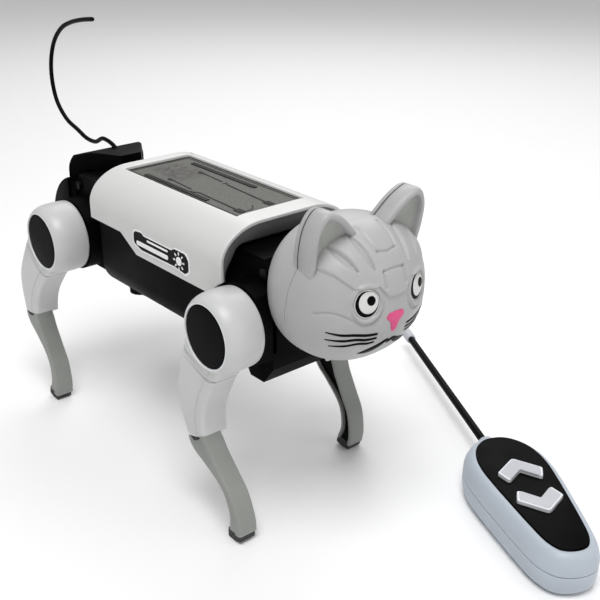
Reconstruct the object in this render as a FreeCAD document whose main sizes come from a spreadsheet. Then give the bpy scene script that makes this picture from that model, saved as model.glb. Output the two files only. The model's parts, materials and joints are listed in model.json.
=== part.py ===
"""Solar walking robot kit: a four-legged robot with a cat head, and its remote control.

Frame: millimetres, +X from tail to head, +Y to the robot's left, +Z up. The origin lies on the
surface the robot stands on, midway between its four hips. The remote lies on the same surface.
"""
import FreeCAD, Part
import math
import os

import Sketcher
from FreeCAD import Placement, Rotation, Vector

os.makedirs("parts", exist_ok=True)
doc = FreeCAD.newDocument("SolarRobotKit")

# ---------------------------------------------------------------- driving dimensions

DIMENSIONS = [
    ("hip_spacing", 130.0, "front hip axis to rear hip axis"),
    ("hip_height", 89.6, "hip axes above the floor"),
    ("trot_angle", 15.2, "swing between a leg set forward and one set back, degrees"),
    ("ring_radius", 16.4, "outside of the hip ring"),
    ("ring_bore", 14.4, "inside of the hip ring"),
    ("ring_inner", 31.0, "hip ring, inner edge from the middle plane"),
    ("ring_outer", 47.5, "hip ring, outer edge from the middle plane"),
    ("ring_round", 1.3, "rounding of the hip ring's outer edge"),
    ("cap_radius", 12.9, "hip cap"),
    ("cap_seat", 46.0, "face that the hip cap sits on"),
    ("web_face", 44.5, "inner face of the wall behind the hip cap"),
    ("thigh_inner_face", 33.2, "thigh, inner face"),
    ("lever_face", 36.0, "inner face of the slotted lever"),
    ("lever_outer_face", 39.6, "outer face of the slotted lever"),
    ("thigh_split", 37.2, "joint face between the two thigh halves"),
    ("leg_outer_face", 46.0, "thigh and shin, outer face"),
    ("shin_inner_face", 36.6, "shin, inner face"),
    ("shin_split", 38.8, "joint face between the two shin halves"),
    ("tongue_outer", 44.5, "outer face of the tongue that joins shin to thigh"),
    ("axle_radius", 3.5, "stub axle that a leg turns on"),
    ("axle_end", 41.0, "end of the stub axle"),
    ("running_gap", 0.05, "radial clearance of shafts in their holes"),
    ("crank_reach", 9.0, "hip axis to crankshaft axis"),
    ("crank_throw", 3.5, "crankshaft axis to crank pin axis"),
    ("crank_disc_radius", 4.9, "crank disc"),
    ("crank_pin_radius", 1.2, "crank pin"),
    ("crank_pin_end", 35.5, "end of the crank pin"),
    ("crankshaft_radius", 1.5, "crankshaft"),
    ("case_back", 24.0, "gearbox case, from the hip axis towards the belly"),
    ("case_front", 9.5, "gearbox case, from the hip axis outwards"),
    ("case_half_width", 22.0, "gearbox case, half its width"),
    ("case_top", 26.4, "gearbox case, above the hip axis"),
    ("case_floor", 22.1, "front gearbox case, below the hip axis"),
    ("rear_floor", 16.8, "rear gearbox case, below the hip axis"),
    ("chest_drop", 27.0, "lowest part of the front gearbox case, below the hip axis"),
    ("case_wall", 1.8, "gearbox wall"),
    ("boss_radius", 17.0, "round boss that carries the stub axle"),
    ("boss_end", 30.5, "end face of the boss"),
    ("gear_module", 0.5, "gear module"),
    ("pinion_teeth", 10.0, "motor pinion teeth"),
    ("wheel_teeth", 32.0, "large teeth of the reduction gear"),
    ("small_teeth", 12.0, "small teeth of the reduction gear"),
    ("crank_teeth", 40.0, "crankshaft gear teeth"),
    ("motor_radius", 7.7, "motor can"),
    ("motor_flat", 11.4, "motor can across its flats"),
    ("belly_half_width", 29.2, "belly shell, half its width"),
    ("belly_bottom", 70.5, "underside of the belly shell"),
    ("belly_rim", 112.0, "top rim of the belly shell"),
    ("belly_end", 40.7, "belly shell, middle to end"),
    ("belly_wall", 2.0, "belly wall"),
    ("belly_round", 12.0, "corner of the belly shell"),
    ("cover_rear", -41.0, "rear edge of the top cover"),
    ("cover_front", 57.0, "front edge of the top cover"),
    ("cover_half_width", 33.4, "top cover, half its width"),
    ("cover_top", 126.3, "top of the cover"),
    ("cover_wall", 1.8, "cover wall"),
    ("cover_arch", 7.0, "thickness of the arch at the cover's front"),
    ("panel_rear", -35.0, "rear edge of the solar panel"),
    ("panel_front", 47.0, "front edge of the solar panel"),
    ("panel_half_width", 17.5, "solar panel, half its width"),
    ("panel_face", 124.9, "top face of the solar panel"),
    ("panel_thickness", 1.3, "solar panel"),
    ("head_centre", 91.5, "centre of the head, along the robot"),
    ("head_height", 107.0, "centre of the head, above the floor"),
    ("head_long", 26.2, "half length of the head"),
    ("head_wide", 30.5, "half width of the head"),
    ("head_tall", 27.5, "half height of the head"),
    ("head_wall", 2.0, "head wall"),
    ("head_seam", 91.8, "plane where the two head shells meet"),
    ("head_open", 75.2, "rear rim of the head"),
    ("neck_radius", 6.0, "stub that the head pushes onto"),
    ("wire_radius", 1.05, "tail antenna wire"),
    ("remote_long", 90.0, "remote control body, length"),
    ("remote_wide", 39.0, "remote control body, width"),
    ("remote_split", 10.0, "remote control, joint of its two shells above the floor"),
    ("remote_top", 19.0, "remote control, top face"),
    ("remote_wall", 1.8, "remote control wall"),
]


class Size:
    """A length that keeps both its number and the spreadsheet formula behind it."""

    def __init__(self, text, number):
        self.text = text
        self.number = number

    def joined(self, sign, other, number):
        other_text = other.text if isinstance(other, Size) else "%.6g" % other
        return Size("(%s %s %s)" % (self.text, sign, other_text), number)

    def __add__(self, other):
        return self.joined("+", other, self.number + float(other))

    def __sub__(self, other):
        return self.joined("-", other, self.number - float(other))

    def __mul__(self, other):
        return self.joined("*", other, self.number * float(other))

    def __neg__(self):
        return self * -1

    def __float__(self):
        return float(self.number)


class Sizes:
    """The driving dimensions, each under its own name."""


sheet = doc.addObject("Spreadsheet::Sheet", "Dimensions")
for row, (alias, number, note) in enumerate(DIMENSIONS, start=1):
    sheet.set("A%d" % row, note)
    sheet.set("B%d" % row, str(number))
    sheet.setAlias("B%d" % row, alias)
doc.recompute()
d = Sizes()
for alias, number, note in DIMENSIONS:
    setattr(d, alias, Size("Dimensions." + alias, float(sheet.get(alias))))

ZERO = Size("0", 0.0)
LEFT, RIGHT = 1, -1
FRONT, REAR = 1, -1
pieces = []


# ---------------------------------------------------------------- drawing helpers

def bind(feature, target, amount):
    """Ties one property of a feature to a formula of the sheet, or to a plain number."""
    feature.setExpression(target, amount.text if isinstance(amount, Size) else "%.6g" % amount)


def finished(feature, label, place=None):
    """Names a piece, puts it in its place and keeps it for export."""
    if place is not None:
        feature.Placement = place
    feature.Label = label
    pieces.append(feature)
    return feature


def new_body(label):
    return doc.addObject("PartDesign::Body", label + "_body")


def new_sketch(body, plane, start):
    """A sketch on one of the body's origin planes, moved along the plane's normal to start."""
    sketch = body.newObject("Sketcher::SketchObject", body.Name + "_sketch")
    sketch.AttachmentSupport = [(item, "") for item in body.Origin.OriginFeatures if item.Role == plane]
    sketch.MapMode = "FlatFace"
    bind(sketch, "AttachmentOffset.Base.z", start)
    return sketch


def hold_point(sketch, geometry, point, place):
    """Holds a point of the sketch by its two distances from the origin."""
    for kind, amount in zip(("DistanceX", "DistanceY"), place):
        constraint = Sketcher.Constraint(kind, -1, 1, geometry, point, float(amount))
        number = sketch.addConstraint(constraint)
        bind(sketch, "Constraints[%d]" % number, amount)


def draw_outline(sketch, points):
    """A closed outline of straight sides through the points."""
    corners = [Vector(float(across), float(up), 0) for across, up in points]
    count = len(points)
    for index in range(count):
        sketch.addGeometry(Part.LineSegment(corners[index], corners[(index + 1) % count]))
    for index in range(count):
        sketch.addConstraint(Sketcher.Constraint("Coincident", index, 2, (index + 1) % count, 1))
    for index, place in enumerate(points):
        hold_point(sketch, index, 1, place)


def draw_circle(sketch, centre, radius):
    middle = Vector(float(centre[0]), float(centre[1]), 0)
    number = sketch.addGeometry(Part.Circle(middle, Vector(0, 0, 1), float(radius)))
    hold_point(sketch, number, 3, centre)
    held = sketch.addConstraint(Sketcher.Constraint("Radius", number, float(radius)))
    bind(sketch, "Constraints[%d]" % held, radius)


def extrude(body, kind, plane, low, high):
    """A pad or pocket from low to high along a plane's axis; returns it with its empty sketch."""
    backwards = plane == "XZ_Plane"
    sketch = new_sketch(body, plane, -high if backwards else low)
    feature = body.newObject("PartDesign::" + kind, body.Name + "_" + kind)
    feature.Profile = sketch
    bind(feature, "Length", high - low)
    feature.Reversed = kind == "Pocket"
    sketch.Visibility = False
    return feature, sketch


def outline_pad(body, plane, points, low, high, kind="Pad"):
    feature, sketch = extrude(body, kind, plane, low, high)
    draw_outline(sketch, points)
    return feature


def circle_pad(body, plane, centre, radius, low, high, kind="Pad"):
    feature, sketch = extrude(body, kind, plane, low, high)
    draw_circle(sketch, centre, radius)
    return feature


def block_outline(low_x, high_x, low_y, high_y):
    return [(low_x, low_y), (high_x, low_y), (high_x, high_y), (low_x, high_y)]


def round_edges(body, radius, wanted):
    """Rounds the edges of the body so far that the wanted function picks."""
    doc.recompute()
    base = body.Tip
    names = ["Edge%d" % number for number, edge in enumerate(base.Shape.Edges, start=1) if wanted(edge)]
    fillet = body.newObject("PartDesign::Fillet", body.Name + "_round")
    fillet.Base = (base, names)
    bind(fillet, "Radius", radius)
    return fillet


def runs_along(direction, *places):
    """Picks straight edges along a direction, near the given places across it when there are any."""
    def wanted(edge):
        if len(edge.Vertexes) != 2 or edge.Curve.TypeId != "Part::GeomLine":
            return False
        if abs(edge.Curve.Direction.dot(direction)) < 0.999:
            return False
        here = edge.CenterOfMass
        across = here - direction * here.dot(direction)
        return not places or any((across - place).Length < 0.2 for place in places)
    return wanted


def block(name, xs, ys, zs):
    """A box between two sizes on each axis."""
    box = doc.addObject("Part::Box", name)
    for side, axis, (low, high) in (("Length", "x", xs), ("Width", "y", ys), ("Height", "z", zs)):
        bind(box, side, high - low)
        bind(box, "Placement.Base." + axis, low)
    return box


TURNS = {
    "x": Rotation(Vector(0, 1, 0), 90),
    "y": Rotation(Vector(1, 0, 0), -90),
    "z": Rotation(),
}


def rod(name, axis, centre, radius, low, high):
    """A cylinder along an axis, from low to high; centre gives its other two coordinates."""
    cylinder = doc.addObject("Part::Cylinder", name)
    cylinder.Placement = Placement(Vector(), TURNS[axis])
    bind(cylinder, "Radius", radius)
    bind(cylinder, "Height", high - low)
    others = [letter for letter in "xyz" if letter != axis]
    bind(cylinder, "Placement.Base." + axis, low)
    for letter, amount in zip(others, centre):
        bind(cylinder, "Placement.Base." + letter, amount)
    return cylinder


def fuse(name, shapes):
    joined = doc.addObject("Part::MultiFuse", name)
    joined.Shapes = shapes
    return joined


def cut(name, base, tools):
    result = doc.addObject("Part::Cut", name)
    result.Base = base
    result.Tool = tools[0] if len(tools) == 1 else fuse(name + "_tools", tools)
    return result


def group(name, shapes):
    """Several separate solids in one piece file."""
    compound = doc.addObject("Part::Compound", name)
    compound.Links = shapes
    return compound


def span(side, inner, outer):
    """The low and high Y of a layer between two distances from the middle plane."""
    return (inner, outer) if side == LEFT else (-outer, -inner)


# ---------------------------------------------------------------- legs

# Leg outlines in the plane of the swing, from the hip axis, for a hip this far above the floor.
LEG_DESIGN_HEIGHT = 89.6
THIGH_OUTLINE = [
    (-15.6, 2.0), (-20.9, -17.0), (-24.5, -30.5), (-23.5, -40.0), (-18.6, -52.0),
    (-6.6, -49.0), (-6.9, -42.0), (-5.2, -34.0), (-0.6, -24.0), (4.5, -15.4), (0.0, 2.0),
]
SHIN_OUTLINE = [
    (-18.6, -52.0), (-18.2, -55.0), (-14.6, -58.8), (-7.3, -62.2), (0.9, -66.6), (5.4, -70.9),
    (8.5, -78.3), (8.2, -85.0), (16.6, -85.0), (16.2, -82.0), (13.9, -73.5), (9.0, -66.1),
    (0.1, -57.6), (-5.3, -50.2), (-6.6, -49.0),
]
FOOT_OUTLINE = [(7.6, -85.0), (16.4, -85.0), (16.2, -88.46), (12.0, -89.6), (7.6, -89.6)]
TONGUE = (-15.6, -9.6, -53.0, -45.0)
SLOT = (4.6, 13.7)


def leg_size(number):
    return d.hip_height * (number / LEG_DESIGN_HEIGHT)


def leg_outline(points):
    return [(leg_size(across), leg_size(up)) for across, up in points]


def tongue_outline():
    low_x, high_x, low_z, high_z = TONGUE
    return leg_outline([(low_x, low_z), (high_x, low_z), (high_x, high_z), (low_x, high_z)])


def thigh_inner_half(label, side, end):
    """Inner half of the thigh, with the slotted lever that the crank pin drives."""
    body = new_body(label)
    outline_pad(body, "XZ_Plane", leg_outline(THIGH_OUTLINE), *span(side, d.thigh_inner_face, d.thigh_split))
    layer = span(side, d.thigh_inner_face, d.lever_face)
    circle_pad(body, "XZ_Plane", (ZERO, ZERO), d.ring_radius, *layer, kind="Pocket")
    layer = span(side, d.lever_face, d.lever_outer_face)
    circle_pad(body, "XZ_Plane", (ZERO, ZERO), d.ring_bore - 0.1, *layer)
    circle_pad(body, "XZ_Plane", (ZERO, ZERO), d.axle_radius + d.running_gap, *layer, kind="Pocket")
    slot_half = d.crank_pin_radius + 0.1
    near, far = ((-SLOT[1], -SLOT[0]) if end == FRONT else SLOT)
    slot = block_outline(ZERO + near, ZERO + far, -slot_half, slot_half)
    outline_pad(body, "XZ_Plane", slot, *layer, kind="Pocket")
    return body


def thigh_outer_half(label, side, inner_half):
    """Outer half of the thigh with the hip ring, cut to fit round the inner half."""
    body = new_body(label)
    outline_pad(body, "XZ_Plane", leg_outline(THIGH_OUTLINE), *span(side, d.thigh_split, d.leg_outer_face))
    centre = (ZERO, ZERO)
    circle_pad(body, "XZ_Plane", centre, d.ring_radius, *span(side, d.ring_inner, d.ring_outer))
    circle_pad(body, "XZ_Plane", centre, d.ring_bore, *span(side, d.ring_inner, d.web_face), kind="Pocket")
    recess = span(side, d.cap_seat, d.ring_outer)
    circle_pad(body, "XZ_Plane", centre, d.cap_radius + 0.1, *recess, kind="Pocket")
    tongue = span(side, d.shin_split, d.tongue_outer)
    outline_pad(body, "XZ_Plane", tongue_outline(), *tongue, kind="Pocket")

    def outer_rim(edge):
        round_enough = edge.Curve.TypeId == "Part::GeomCircle"
        if not round_enough or abs(edge.Curve.Radius - float(d.ring_radius)) > 0.01:
            return False
        return abs(abs(edge.Curve.Center.y) - float(d.ring_outer)) < 0.01
    round_edges(body, d.ring_round, outer_rim)
    return cut(label + "_fitted", body, [inner_half])


def shin_half(label, side, inner, outer, with_tongue):
    body = new_body(label)
    outline_pad(body, "XZ_Plane", leg_outline(SHIN_OUTLINE), *span(side, inner, outer))
    if with_tongue:
        outline_pad(body, "XZ_Plane", tongue_outline(), *span(side, inner, d.tongue_outer))
    return body


def foot_pad(label, side):
    body = new_body(label)
    layer = span(side, d.shin_inner_face - 0.4, d.leg_outer_face + 0.2)
    outline_pad(body, "XZ_Plane", leg_outline(FOOT_OUTLINE), *layer)
    return body


def hip_cap(label, side):
    disc = rod(label + "_disc", "y", (ZERO, ZERO), d.cap_radius, *span(side, d.cap_seat, d.cap_seat + 1.1))
    return group(label + "_set", [disc])


def leg(name, side, end, set_back):
    """One leg: every piece is drawn about the hip axis, then put at its hip and swung back or not."""
    swing = float(d.trot_angle) if set_back else 0.0
    hip = Vector(end * float(d.hip_spacing) / 2, 0, float(d.hip_height))
    place = Placement(hip, Rotation(Vector(0, 1, 0), swing))
    inner_half = thigh_inner_half(name + "_thigh_inner", side, end)
    outer_half = thigh_outer_half(name + "_thigh_outer", side, inner_half)
    inner_copy = group(name + "_thigh_inner_copy", [inner_half])
    finished(inner_copy, name + "_thigh_inner", place)
    finished(outer_half, name + "_thigh_outer", place)
    inner_shin = shin_half(name + "_shin_inner", side, d.shin_inner_face, d.shin_split, False)
    outer_shin = shin_half(name + "_shin_outer", side, d.shin_split, d.leg_outer_face, True)
    finished(inner_shin, name + "_shin_inner", place)
    finished(outer_shin, name + "_shin_outer", place)
    finished(foot_pad(name + "_foot_pad", side), name + "_foot_pad", place)
    finished(hip_cap(name + "_hip_cap", side), name + "_hip_cap", place)


for end, end_name in ((FRONT, "front"), (REAR, "rear")):
    for side, side_name in ((LEFT, "left"), (RIGHT, "right")):
        leg("%s_%s" % (end_name, side_name), side, end, set_back=side * end == LEFT * FRONT)

# ---------------------------------------------------------------- gearboxes

# Places of the gearbox shafts from the hip axis: outwards along the robot, then up.
CRANKSHAFT = (-d.crank_reach, ZERO)
REDUCTION_SHAFT = (ZERO - 2.0, ZERO + 10.95)
MOTOR_SHAFT = (ZERO - 12.42, ZERO + 12.23)
SCREW_PLACES = {
    FRONT: [(-19.6, -18.0), (-19.6, 22.4), (5.2, 21.0)],
    REAR: [(-19.6, -12.8), (-19.6, 22.4), (5.2, 21.0)],
}
SCREW_POST_RADIUS = 2.4
SCREW_RADIUS = 1.0
SCREW_HEAD_RADIUS = 2.0
PINION_LAYER = (2.2, 6.0)
WHEEL_LAYER = (3.0, 6.0)
SMALL_LAYER = (6.4, 10.0)
CRANK_LAYER = (6.6, 9.6)
BACKLASH = 0.12


def case_outline(inset, end):
    """Side outline of a gearbox case about the hip axis, drawn in by inset; the front one has a chest."""
    back, front = -d.case_back + inset, d.case_front - inset
    top = d.case_top - inset
    if end == REAR:
        floor = -d.rear_floor + inset
        lower = [(back, floor), (front - 3.0, floor), (front, floor + 3.0)]
        return lower + [(front, top - 5.4), (front - 5.0, top), (back, top)]
    floor = -d.case_floor + inset
    chest = -d.chest_drop + inset
    return [
        (back, floor), (ZERO - 8.0, floor), (ZERO - 5.0, chest), (ZERO + 3.5, chest),
        (front, floor + 3.0), (front, top - 5.4), (front - 5.0, top), (back, top),
    ]


def mirrored(points, end):
    return points if end == FRONT else [(-across, up) for across, up in points]


def case_half(label, side, end):
    """One half of a gearbox case: walls, flat-fronted boss, stub axle, screw posts and shaft supports."""
    body = new_body(label)
    outline_pad(body, "XZ_Plane", mirrored(case_outline(0, end), end), *span(side, ZERO, d.case_half_width))
    centre = (ZERO, ZERO)
    circle_pad(body, "XZ_Plane", centre, d.boss_radius, *span(side, d.case_half_width, d.boss_end))
    inside = mirrored(case_outline(float(d.case_wall), end), end)
    depth = span(side, ZERO, d.case_half_width - d.case_wall)
    outline_pad(body, "XZ_Plane", inside, *depth, kind="Pocket")
    boss_depth = span(side, d.case_half_width - d.case_wall, d.boss_end - d.case_wall)
    circle_pad(body, "XZ_Plane", centre, d.boss_radius - d.case_wall, *boss_depth, kind="Pocket")
    beyond = block_outline(d.case_front, d.boss_radius + 1.0, -d.boss_radius, d.boss_radius)
    boss_reach = span(side, d.case_half_width, d.boss_end)
    outline_pad(body, "XZ_Plane", mirrored(beyond, end), *boss_reach, kind="Pocket")
    flat = block_outline(d.case_front - d.case_wall, d.case_front, ZERO - 14.0, ZERO + 14.0)
    outline_pad(body, "XZ_Plane", mirrored(flat, end), *boss_reach)
    circle_pad(body, "XZ_Plane", centre, d.axle_radius, *span(side, d.boss_end - d.case_wall, d.axle_end))
    for place in SCREW_PLACES[end]:
        middle = mirrored([(ZERO + place[0], ZERO + place[1])], end)[0]
        reach = span(side, ZERO, d.case_half_width - d.case_wall)
        circle_pad(body, "XZ_Plane", middle, ZERO + SCREW_POST_RADIUS, *reach)
        depth = span(side, ZERO, ZERO + 10.0) if side == LEFT else span(side, ZERO, d.case_half_width)
        circle_pad(body, "XZ_Plane", middle, ZERO + SCREW_RADIUS, *depth, kind="Pocket")
    crank_place = mirrored([CRANKSHAFT], end)[0]
    through = span(side, d.boss_end - d.case_wall - 0.5, d.boss_end + 0.5)
    hole = d.crankshaft_radius + d.running_gap
    circle_pad(body, "XZ_Plane", crank_place, hole, *through, kind="Pocket")
    if side == LEFT:
        gear_place = mirrored([REDUCTION_SHAFT], end)[0]
        pin_reach = (ZERO + 2.0, d.boss_end - d.case_wall)
        circle_pad(body, "XZ_Plane", gear_place, ZERO + 1.0, *pin_reach)
    return body


def at_hip(end, middle=0.0):
    return Placement(Vector(end * float(d.hip_spacing) / 2, middle, float(d.hip_height)), Rotation())


def gear_face(teeth, module, turn):
    """Face of a spur gear about the origin in the XZ plane, with straight-flanked teeth."""
    pitch = module * teeth / 2
    tip = pitch + module * 0.92
    root = pitch - module * 1.2
    step = 2 * math.pi / teeth
    widths = [(root, 0.30), (pitch, 0.25 - BACKLASH / (pitch * step) / 2), (tip, 0.11)]
    corners = []
    for tooth in range(int(teeth)):
        middle = turn + tooth * step
        flank = [(radius, middle - share * step) for radius, share in widths]
        flank += [(radius, middle + share * step) for radius, share in reversed(widths)]
        corners += [Vector(radius * math.cos(angle), 0, radius * math.sin(angle)) for radius, angle in flank]
    return Part.Face(Part.makePolygon(corners + corners[:1]))


def gear_solid(teeth, module, turn, layer, bore):
    solid = gear_face(teeth, module, turn).extrude(Vector(0, layer[1] - layer[0], 0))
    solid.translate(Vector(0, layer[0], 0))
    if bore:
        hole = Part.makeCylinder(bore, layer[1] - layer[0] + 2, Vector(0, layer[0] - 1, 0), Vector(0, 1, 0))
        solid = solid.cut(hole)
    return solid


def y_rod(radius, low, high, across=0.0, up=0.0):
    return Part.makeCylinder(radius, high - low, Vector(across, low, up), Vector(0, 1, 0))


def shaped(label, shape, place):
    feature = doc.addObject("Part::Feature", label + "_shape")
    feature.Shape = shape
    return finished(feature, label, place)


def mesh_turn(teeth, partner_teeth, direction, partner_turn):
    """Angle that puts a tooth gap of this gear where the partner's tooth points along direction."""
    partner_step = 2 * math.pi / partner_teeth
    phase = ((direction + math.pi - partner_turn) / partner_step) % 1.0
    step = 2 * math.pi / teeth
    return direction + step / 2 + phase * step


def gear_train(end_name, end):
    """Motor, pinion, reduction gear, crankshaft and cranks of one gearbox."""
    module = float(d.gear_module)
    gap = float(d.running_gap)
    crank = [float(item) for item in mirrored([CRANKSHAFT], end)[0]]
    wheel = [float(item) for item in mirrored([REDUCTION_SHAFT], end)[0]]
    motor = [float(item) for item in mirrored([MOTOR_SHAFT], end)[0]]
    hip = at_hip(end).Base
    crank_teeth, small_teeth = float(d.crank_teeth), float(d.small_teeth)
    wheel_teeth, pinion_teeth = float(d.wheel_teeth), float(d.pinion_teeth)
    to_crank = math.atan2(crank[1] - wheel[1], crank[0] - wheel[0])
    to_motor = math.atan2(motor[1] - wheel[1], motor[0] - wheel[0])
    crank_turn = 0.0
    small_turn = mesh_turn(small_teeth, crank_teeth, to_crank, crank_turn)
    wheel_turn = 0.0
    pinion_turn = mesh_turn(pinion_teeth, wheel_teeth, to_motor + math.pi, wheel_turn)

    reach = float(d.ring_inner)
    shaft = y_rod(float(d.crankshaft_radius), -reach, reach)
    shaft = shaft.fuse(gear_solid(crank_teeth, module, crank_turn, CRANK_LAYER, 0))
    at_crank = Placement(hip + Vector(crank[0], 0, crank[1]), Rotation())
    shaped(end_name + "_crankshaft", shaft.removeSplitter(), at_crank)

    discs = []
    for side in (LEFT, RIGHT):
        low, high = [float(item) for item in span(side, d.ring_inner, d.ring_inner + 2.0)]
        disc = y_rod(float(d.crank_disc_radius), low, high)
        low, high = [float(item) for item in span(side, d.ring_inner + 1.0, d.crank_pin_end)]
        pin = y_rod(float(d.crank_pin_radius), low, high, 0, side * float(d.crank_throw))
        discs.append(disc.fuse(pin).removeSplitter())
    shaped(end_name + "_cranks", Part.makeCompound(discs), at_crank)

    wheel_gear = gear_solid(wheel_teeth, module, wheel_turn, WHEEL_LAYER, 0)
    hub = y_rod(2.3, WHEEL_LAYER[1] - 0.1, SMALL_LAYER[0] + 0.1)
    small_gear = gear_solid(small_teeth, module, small_turn, SMALL_LAYER, 0)
    reduction = wheel_gear.fuse([hub, small_gear]).cut(y_rod(1.0 + gap, 0, 20))
    at_wheel = Placement(hip + Vector(wheel[0], 0, wheel[1]), Rotation())
    shaped(end_name + "_reduction_gear", reduction.removeSplitter(), at_wheel)

    can_low, can_high = -19.5, 1.2
    can = y_rod(float(d.motor_radius), can_low, can_high)
    flat = float(d.motor_flat)
    envelope = Part.makeBox(40, 40, flat, Vector(-20, can_low, -flat / 2))
    can = can.common(envelope).cut(y_rod(1.0 + gap, can_high - 8, can_high + 1))
    at_motor = Placement(hip + Vector(motor[0], 0, motor[1]), Rotation())
    shaped(end_name + "_motor", can, at_motor)
    pinion = gear_solid(pinion_teeth, module, pinion_turn, PINION_LAYER, 0)
    pinion = pinion.fuse(y_rod(1.0, can_high - 7.5, PINION_LAYER[1] + 0.6))
    shaped(end_name + "_motor_pinion", pinion.removeSplitter(), at_motor)


case_screws = []
for end, end_name in ((FRONT, "front"), (REAR, "rear")):
    for side, side_name in ((LEFT, "left"), (RIGHT, "right")):
        label = "%s_gearbox_%s_case" % (end_name, side_name)
        half = case_half(label, side, end)
        finished(half, label, at_hip(end))
    gear_train(end_name, end)
    for across, up in SCREW_PLACES[end]:
        x = end * (float(d.hip_spacing) / 2 + across)
        z = float(d.hip_height) + up
        face = float(d.case_half_width)
        head = y_rod(SCREW_HEAD_RADIUS, -face - 1.3, -face, x, z)
        case_screws.append(head.fuse(y_rod(SCREW_RADIUS, -face - 0.5, 8.0, x, z)).removeSplitter())
shaped("gearbox_screws", Part.makeCompound(case_screws), None)

# ---------------------------------------------------------------- torso

rear_hip = -d.hip_spacing * 0.5
front_hip = d.hip_spacing * 0.5


def top_cover_body():
    """Thin curved cover with a thick arch at its front, a panel recess and clear hip rings."""
    body = new_body("top_cover")
    wide, top = d.cover_half_width, d.cover_top
    skirt = ZERO + 97.0
    section = [
        (-wide, skirt), (wide, skirt), (wide - 1.0, top - 8.0), (wide - 12.9, top),
        (-wide + 12.9, top), (-wide + 1.0, top - 8.0),
    ]
    outline_pad(body, "YZ_Plane", section, d.cover_rear, d.cover_front)
    along = Vector(1, 0, 0)
    shoulders = [Vector(0, side * float(wide - 1.0), float(top - 8.0)) for side in (LEFT, RIGHT)]
    round_edges(body, ZERO + 7.0, runs_along(along, *shoulders))
    crowns = [Vector(0, side * float(wide - 12.9), float(top)) for side in (LEFT, RIGHT)]
    round_edges(body, ZERO + 14.0, runs_along(along, *crowns))
    wall = d.cover_wall
    hollow = [
        (-wide + wall, skirt - 1.0), (wide - wall, skirt - 1.0), (wide - wall - 1.0, top - 9.0),
        (wide - 14.4, top - wall), (-wide + 14.4, top - wall), (-wide + wall + 1.0, top - 9.0),
    ]
    outline_pad(body, "YZ_Plane", hollow, d.cover_rear - 1.0, d.cover_front - d.cover_arch, kind="Pocket")
    arch = [
        (-wide + wall, skirt - 1.0), (wide - wall, skirt - 1.0), (wide - 3.8, ZERO + 107.0),
        (ZERO + 20.0, ZERO + 117.0), (ZERO - 20.0, ZERO + 117.0), (-wide + 3.8, ZERO + 107.0),
    ]
    outline_pad(body, "YZ_Plane", arch, d.cover_front - d.cover_arch - 1.0, d.cover_front + 1.0, kind="Pocket")
    recess = block_outline(d.panel_rear, d.panel_front, -d.panel_half_width, d.panel_half_width)
    floor = d.panel_face - d.panel_thickness
    tray = block_outline(d.panel_rear - 1.5, d.panel_front + 1.5, -d.panel_half_width - 1.5, d.panel_half_width + 1.5)
    outline_pad(body, "XY_Plane", tray, floor - 1.2, top - 0.9)
    outline_pad(body, "XY_Plane", recess, floor, top + 1.0, kind="Pocket")
    side_cut = [
        (d.cover_rear - 1.0, ZERO + 96.0), (ZERO - 4.0, ZERO + 96.0), (ZERO - 4.0, ZERO + 98.0),
        (ZERO - 16.0, ZERO + 105.0), (d.cover_rear - 1.0, ZERO + 105.0),
    ]
    outline_pad(body, "XZ_Plane", side_cut, -wide - 1.0, wide + 1.0, kind="Pocket")
    hip = (front_hip, d.hip_height)
    circle_pad(body, "XZ_Plane", hip, d.ring_radius + 0.8, -wide - 1.0, wide + 1.0, kind="Pocket")
    return body


cover_body = top_cover_body()
cover_posts = []
for side in (LEFT, RIGHT):
    for place in (-30.0, 24.0):
        middle = (ZERO + place, (d.belly_half_width - 1.0) * side)
        cover_posts.append(rod("cover_post", "z", middle, ZERO + 1.0, d.belly_rim, ZERO + 121.5))
finished(fuse("top_cover_whole", [cover_body] + cover_posts), "top_cover")

# A plain badge plate on each flank of the cover.
BADGE = (-5.0, 36.0, 101.0, 110.0)
badge_low, badge_high = d.cover_half_width - 1.2, d.cover_half_width + 0.35
badges = []
for side in (LEFT, RIGHT):
    layer = span(side, badge_low, badge_high)
    plate = block("badge_blank", (ZERO + BADGE[0], ZERO + BADGE[1]), layer, (ZERO + BADGE[2], ZERO + BADGE[3]))
    badges.append(cut("badge", plate, [cover_body]))
finished(group("side_badges_pair", badges), "side_badges")

panel_length = (d.panel_rear, d.panel_front)
panel_width = (-d.panel_half_width, d.panel_half_width)
panel_depth = (d.panel_face - d.panel_thickness, d.panel_face)
finished(block("solar_panel_plate", panel_length, panel_width, panel_depth), "solar_panel")


KNOB_PLACE = (ZERO - 31.3, ZERO - 15.8)
STEM_RADIUS = 2.0


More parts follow.
